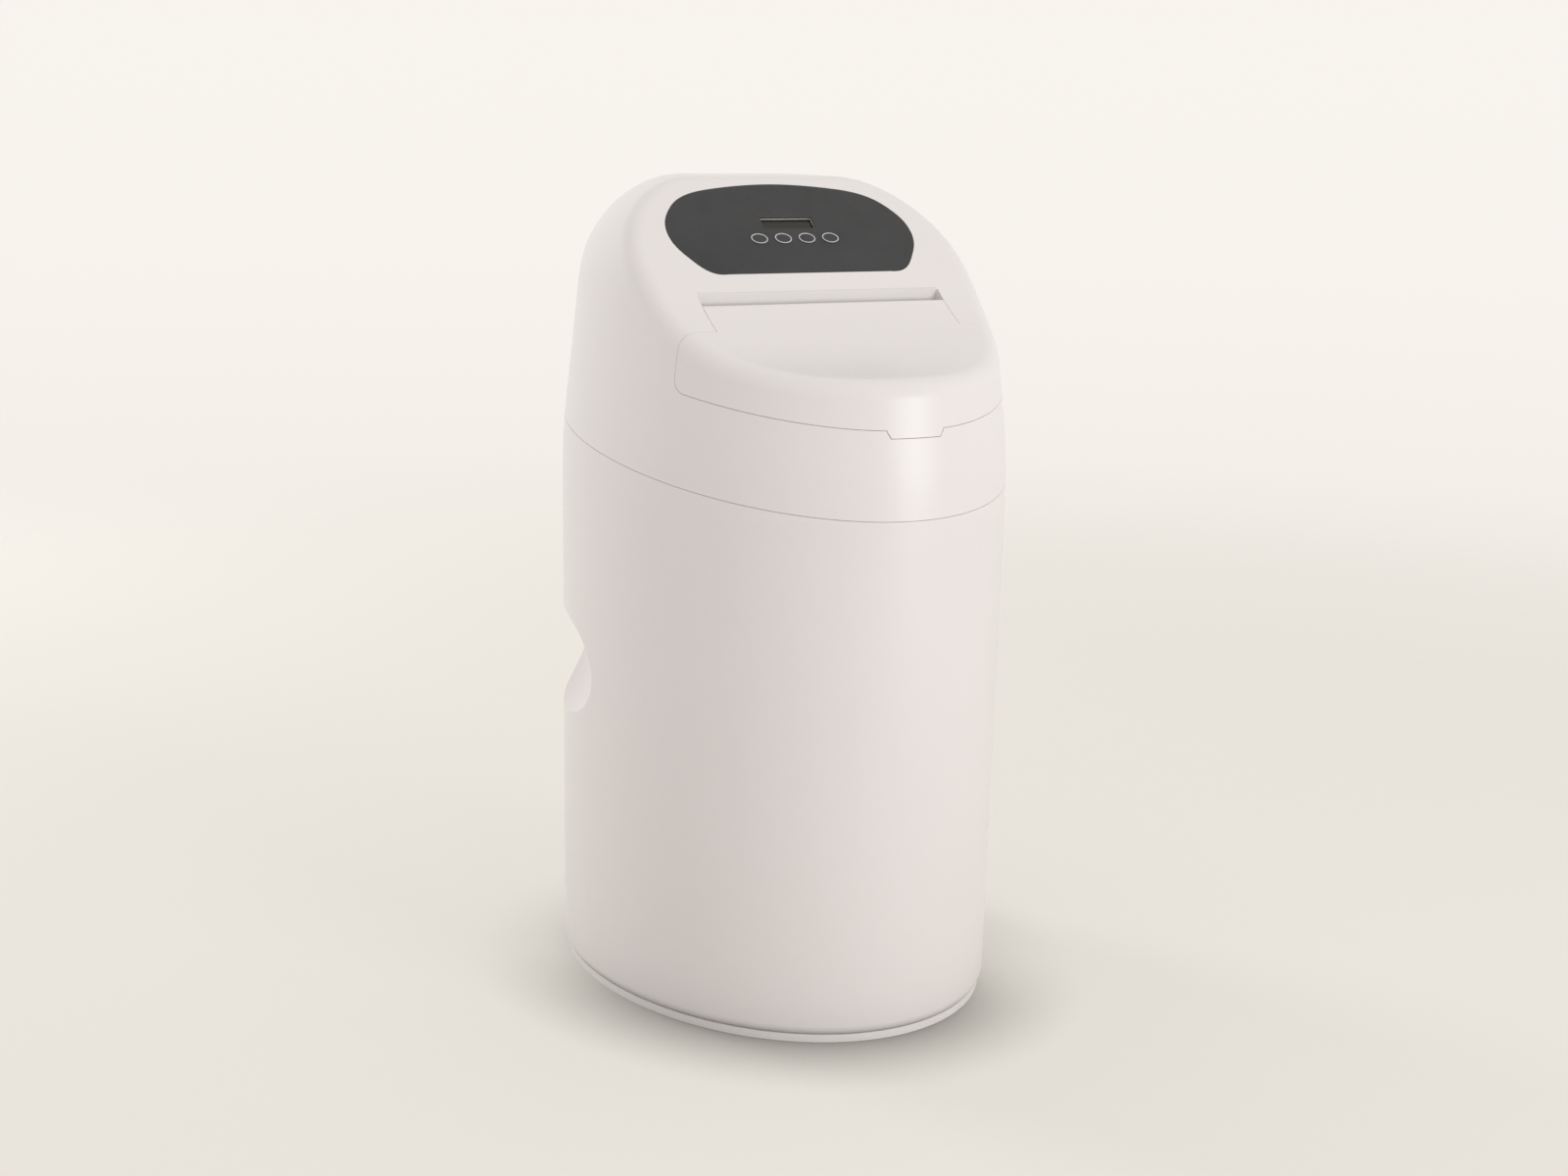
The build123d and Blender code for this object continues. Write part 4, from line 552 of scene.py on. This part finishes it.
def makeKeyRing(index):
    mesh = bmesh.new()
    bmesh.ops.create_circle(mesh, cap_ends=False, radius=1.0, segments=96)
    edges = mesh.edges[:]
    bmesh.ops.scale(mesh, vec=(*keyRing["inner"], 1.0), verts=mesh.verts)
    grown = bmesh.ops.extrude_edge_only(mesh, edges=edges)["geom"]
    outer = [item for item in grown if isinstance(item, bmesh.types.BMVert)]
    growth = [b / a for a, b in zip(keyRing["inner"], keyRing["outer"])]
    bmesh.ops.scale(mesh, vec=(*growth, 1.0), verts=outer)
    raised = bmesh.ops.extrude_face_region(mesh, geom=mesh.faces[:], use_keep_orig=True)["geom"]
    top = [item for item in raised if isinstance(item, bmesh.types.BMVert)]
    bmesh.ops.translate(mesh, vec=(0, 0, keyRing["thickness"]), verts=top)
    bmesh.ops.recalc_face_normals(mesh, faces=mesh.faces)
    across = (index - (keyRing["count"] - 1) / 2) * keyRing["pitch"]
    bmesh.ops.transform(mesh, matrix=faceMatrix(across, keyRing["at"], keyRing["proud"]), verts=mesh.verts)
    return finishPiece(f"keyRing{index + 1}", mesh, ringInk, f"key_{index + 1}_cap")


ringInk = mouldedPlastic("ringInk", clean=(0.6, 0.6, 0.6), aged=(0.5, 0.5, 0.51), patches=300.0,
                         smooth=0.4, rough=0.5, grain=2600.0, grainDepth=0.00002)
for index in range(keyRing["count"]):
    makeKeyRing(index)

windowLiner = {"at": 0.071, "width": 0.0458, "length": 0.0122, "corner": 0.0011, "wall": 0.0003,
               "top": 0.00002, "depth": 0.0011}


def makeWindowLiner():
    mesh = bmesh.new()
    bmesh.ops.create_grid(mesh, x_segments=1, y_segments=1, size=0.5)
    bmesh.ops.scale(mesh, vec=(windowLiner["width"], windowLiner["length"], 1.0), verts=mesh.verts)
    bmesh.ops.bevel(mesh, geom=mesh.verts[:], offset=windowLiner["corner"], offset_type="OFFSET", segments=6,
                    profile=0.5, affect="VERTICES", clamp_overlap=True, material=-1)
    rim = bmesh.ops.inset_region(mesh, faces=mesh.faces[:], thickness=windowLiner["wall"],
                                 use_boundary=True, use_even_offset=True)["faces"]
    middle = [face for face in mesh.faces if face not in rim]
    bmesh.ops.delete(mesh, geom=middle, context="FACES")
    sunk = bmesh.ops.extrude_face_region(mesh, geom=mesh.faces[:], use_keep_orig=True)["geom"]
    low = [item for item in sunk if isinstance(item, bmesh.types.BMVert)]
    bmesh.ops.translate(mesh, vec=(0, 0, -windowLiner["depth"]), verts=low)
    bmesh.ops.recalc_face_normals(mesh, faces=mesh.faces)
    place = faceMatrix(0.0, windowLiner["at"], windowLiner["top"])
    bmesh.ops.transform(mesh, matrix=place, verts=mesh.verts)
    return finishPiece("windowLiner", mesh, linerEdge, "cover_assembly")


linerEdge = mouldedPlastic("linerEdge", clean=(0.036, 0.036, 0.035), aged=(0.028, 0.028, 0.028),
                           patches=200.0, smooth=0.25, rough=0.4, grainDepth=0.00001)
makeWindowLiner()
print("control face dressed")


# Components on the board, seen when the tray is open to view

boardParts = {"drop": 0.014, "chip": (0.026, 0.012, 0.0022), "chipAt": (-0.034, 0.076),
              "header": (0.018, 0.0058, 0.007), "headerAt": (0.047, 0.046), "canRadius": 0.0042,
              "canHeight": 0.0085, "canRim": 0.0007, "canSink": 0.0003,
              "canPlaces": ((0.040, 0.078), (0.0505, 0.0775))}


def makeBlock(name, size, at, material, bevel):
    mesh = bmesh.new()
    bmesh.ops.create_cube(mesh, size=1.0)
    bmesh.ops.scale(mesh, vec=size, verts=mesh.verts)
    bmesh.ops.bevel(mesh, geom=mesh.edges[:], offset=bevel, offset_type="OFFSET", segments=2, profile=0.5,
                    affect="EDGES", clamp_overlap=True, material=-1)
    bmesh.ops.translate(mesh, vec=(0, 0, size[2] / 2), verts=mesh.verts)
    bmesh.ops.transform(mesh, matrix=faceMatrix(*at, -boardParts["drop"]), verts=mesh.verts)
    return finishPiece(name, mesh, material, "cover_assembly")


def makeCan(index, at):
    mesh = bmesh.new()
    bmesh.ops.create_cone(mesh, cap_ends=True, segments=40, radius1=boardParts["canRadius"],
                          radius2=boardParts["canRadius"], depth=boardParts["canHeight"])
    bmesh.ops.translate(mesh, vec=(0, 0, boardParts["canHeight"] / 2), verts=mesh.verts)
    lids = [face for face in mesh.faces if len(face.verts) > 4 and face.normal.z > 0.5]
    bmesh.ops.inset_region(mesh, faces=lids, thickness=boardParts["canRim"], depth=-boardParts["canSink"])
    bmesh.ops.transform(mesh, matrix=faceMatrix(*at, -boardParts["drop"]), verts=mesh.verts)
    return finishPiece(f"storageCan{index + 1}", mesh, drawnCan, "cover_assembly")


makeBlock("boardChip", boardParts["chip"], boardParts["chipAt"], plugBlack, 0.0003)
makeBlock("boardHeader", boardParts["header"], boardParts["headerAt"], gearWhite, 0.0004)
for index, at in enumerate(boardParts["canPlaces"]):
    makeCan(index, at)
print("board parts made")


# Stage: pale floor that fades into the background, lamps, camera

stageLook = {"floorColour": (0.655, 0.638, 0.59), "glow": (0.815, 0.792, 0.732), "glowShare": 0.26,
             "fadeFrom": 0.9, "fadeTo": 2.9, "radius": 3.0,
             "mottle": 0.99, "roughness": 0.9,
             "skyTop": (0.94, 0.905, 0.855), "skyLow": (0.838, 0.80, 0.737), "skyFrom": -0.42,
             "skyTo": 0.02, "ambient": 0.8, "ambientColour": (1.0, 0.975, 0.965),
             "contactReach": 0.09, "contactFrom": 0.45, "contactShare": 0.62,
             "shadeSide": (-0.466, -0.885), "shadeFrom": -0.02, "shadeTo": 0.16, "shadeBehind": 0.25}


def makeFloor():
    mesh = bmesh.new()
    bmesh.ops.create_circle(mesh, cap_ends=True, radius=stageLook["radius"], segments=128)
    data = bpy.data.meshes.new("floor")
    mesh.to_mesh(data)
    mesh.free()
    floor = bpy.data.objects.new("floor", data)
    bpy.context.scene.collection.objects.link(floor)
    material, tree, principled, place = newMaterial("paleFloor")
    principled.inputs["Roughness"].default_value = stageLook["roughness"]
    principled.inputs["Specular IOR Level"].default_value = 0.0
    mottle = addNode(tree, "ShaderNodeTexNoise", {"Scale": 2.0, "Detail": 2.0})
    wire(tree, place, mottle.inputs["Vector"])
    mix = addNode(tree, "ShaderNodeMix", data_type="RGBA")
    mix.inputs[6].default_value = (*stageLook["floorColour"], 1)
    mix.inputs[7].default_value = (*[stageLook["mottle"] * c for c in stageLook["floorColour"]], 1)
    wire(tree, mottle.outputs["Fac"], mix.inputs[0])
    # Painted contact shadow: ambient occlusion, stronger in front of the base than beside or behind it,
    # darkens the floor's colour and its glow near the object
    near = addNode(tree, "ShaderNodeAmbientOcclusion", {"Distance": stageLook["contactReach"]}, samples=12)
    contact = addNode(tree, "ShaderNodeMapRange",
                      {"From Min": stageLook["contactFrom"], "To Min": 1 - stageLook["contactShare"]})
    wire(tree, near.outputs["AO"], contact.inputs["Value"])
    split = addNode(tree, "ShaderNodeSeparateXYZ")
    wire(tree, place, split.inputs[0])
    ahead = calc(tree, "ADD", calc(tree, "MULTIPLY", split.outputs["X"], stageLook["shadeSide"][0]),
                 calc(tree, "MULTIPLY", split.outputs["Y"], stageLook["shadeSide"][1]))
    share = addNode(tree, "ShaderNodeMapRange",
                    {"From Min": stageLook["shadeFrom"], "From Max": stageLook["shadeTo"],
                     "To Min": stageLook["shadeBehind"]}, interpolation_type="SMOOTHSTEP")
    wire(tree, ahead, share.inputs["Value"])
    missing = calc(tree, "SUBTRACT", 1.0, contact.outputs[0])
    paintedContactShadow = calc(tree, "SUBTRACT", 1.0, calc(tree, "MULTIPLY", missing, share.outputs[0]))
    shaded = addNode(tree, "ShaderNodeMix", {0: 1.0}, data_type="RGBA", blend_type="MULTIPLY")
    wire(tree, mix.outputs[2], shaded.inputs[6])
    wire(tree, paintedContactShadow, shaded.inputs[7])
    wire(tree, shaded.outputs[2], principled.inputs["Base Color"])
    principled.inputs["Emission Color"].default_value = (*stageLook["glow"], 1)
    shown = calc(tree, "MULTIPLY", seenDirectly(tree), stageLook["glowShare"])
    glow = calc(tree, "MULTIPLY", shown, paintedContactShadow)
    wire(tree, glow, principled.inputs["Emission Strength"])
    reach = addNode(tree, "ShaderNodeVectorMath", operation="LENGTH")
    wire(tree, place, reach.inputs[0])
    fade = addNode(tree, "ShaderNodeMapRange",
                   {"From Min": stageLook["fadeFrom"], "From Max": stageLook["fadeTo"], "To Min": 1.0,
                    "To Max": 0.0}, interpolation_type="SMOOTHSTEP")
    wire(tree, reach.outputs["Value"], fade.inputs["Value"])
    wire(tree, fade.outputs[0], principled.inputs["Alpha"])
    data.materials.append(material)


def makeWorld():
    world = bpy.data.worlds.new("studio")
    bpy.context.scene.world = world
    world.use_nodes = True
    tree = world.node_tree
    tree.nodes.clear()
    output = addNode(tree, "ShaderNodeOutputWorld")
    direction = addNode(tree, "ShaderNodeTexCoord").outputs["Generated"]
    split = addNode(tree, "ShaderNodeSeparateXYZ")
    wire(tree, direction, split.inputs[0])
    blend = addNode(tree, "ShaderNodeMapRange",
                    {"From Min": stageLook["skyFrom"], "From Max": stageLook["skyTo"]},
                    interpolation_type="SMOOTHSTEP")
    wire(tree, split.outputs["Z"], blend.inputs["Value"])
    sky = addNode(tree, "ShaderNodeMix", data_type="RGBA")
    sky.inputs[6].default_value = (*stageLook["skyLow"], 1)
    sky.inputs[7].default_value = (*stageLook["skyTop"], 1)
    wire(tree, blend.outputs[0], sky.inputs[0])
    shown = addNode(tree, "ShaderNodeBackground", {"Strength": 1.0})
    wire(tree, sky.outputs[2], shown.inputs["Color"])
    ambient = addNode(tree, "ShaderNodeBackground",
                      {"Color": (*stageLook["ambientColour"], 1), "Strength": stageLook["ambient"]})
    mix = addNode(tree, "ShaderNodeMixShader")
    wire(tree, seenDirectly(tree), mix.inputs[0])
    wire(tree, ambient.outputs[0], mix.inputs[1])
    wire(tree, shown.outputs[0], mix.inputs[2])
    wire(tree, mix.outputs[0], output.inputs["Surface"])


lamps = {
    "keyStrip": {"place": (1.15, -2.4, 0.62), "aim": (0.0, 0.0, 0.36), "size": (1.2, 1.2),
                 "power": 18.5, "glossy": True, "colour": (1.0, 1.0, 1.0)},
    "backLeft": {"place": (-1.42, 2.85, 1.15), "aim": (0.0, 0.0, 0.32), "size": (0.9, 1.5),
                 "power": 25.0, "glossy": False, "colour": (0.98, 0.99, 1.0)},
    "overhead": {"place": (0.1, 0.6, 2.4), "aim": (0.0, 0.0, 0.4), "size": (1.2, 1.2),
                 "power": 1.0, "glossy": True, "colour": (1.0, 0.99, 0.98)},
}


def makeLamp(name, place, aim, size, power, glossy, colour):
    light = bpy.data.lights.new(name, "AREA")
    light.shape = "RECTANGLE"
    light.size, light.size_y = size
    light.energy = power
    light.color = colour
    lamp = bpy.data.objects.new(name, light)
    lamp.location = place
    lamp.rotation_euler = (Vector(aim) - Vector(place)).to_track_quat("-Z", "Y").to_euler()
    lamp.visible_camera = False
    lamp.visible_glossy = glossy
    bpy.context.scene.collection.objects.link(lamp)


viewpoint = {"place": (-0.82784, -1.57029, 0.6984), "yaw": -0.4817, "pitch": 0.2139, "roll": 0.0193,
             "focal": 2315.93, "imageWidth": 1600.0, "sensor": 36.0}


def makeCamera():
    yaw, pitch, roll = viewpoint["yaw"], viewpoint["pitch"], viewpoint["roll"]
    back = Vector((math.sin(yaw) * math.cos(pitch), -math.cos(yaw) * math.cos(pitch), math.sin(pitch)))
    right = Vector((0, 0, 1)).cross(back).normalized()
    up = back.cross(right)
    turned = right * math.cos(roll) + up * math.sin(roll)
    raised = up * math.cos(roll) - right * math.sin(roll)
    data = bpy.data.cameras.new("camera")
    data.sensor_width = viewpoint["sensor"]
    data.lens = viewpoint["focal"] * viewpoint["sensor"] / viewpoint["imageWidth"]
    camera = bpy.data.objects.new("camera", data)
    turn = Matrix((turned, raised, back)).transposed().to_4x4()
    camera.matrix_world = Matrix.Translation(viewpoint["place"]) @ turn
    bpy.context.scene.collection.objects.link(camera)
    bpy.context.scene.camera = camera


makeFloor()
makeWorld()
for name, lamp in lamps.items():
    makeLamp(name, **lamp)
makeCamera()
bpy.context.scene.view_settings.view_transform = "Standard"
print("stage set")
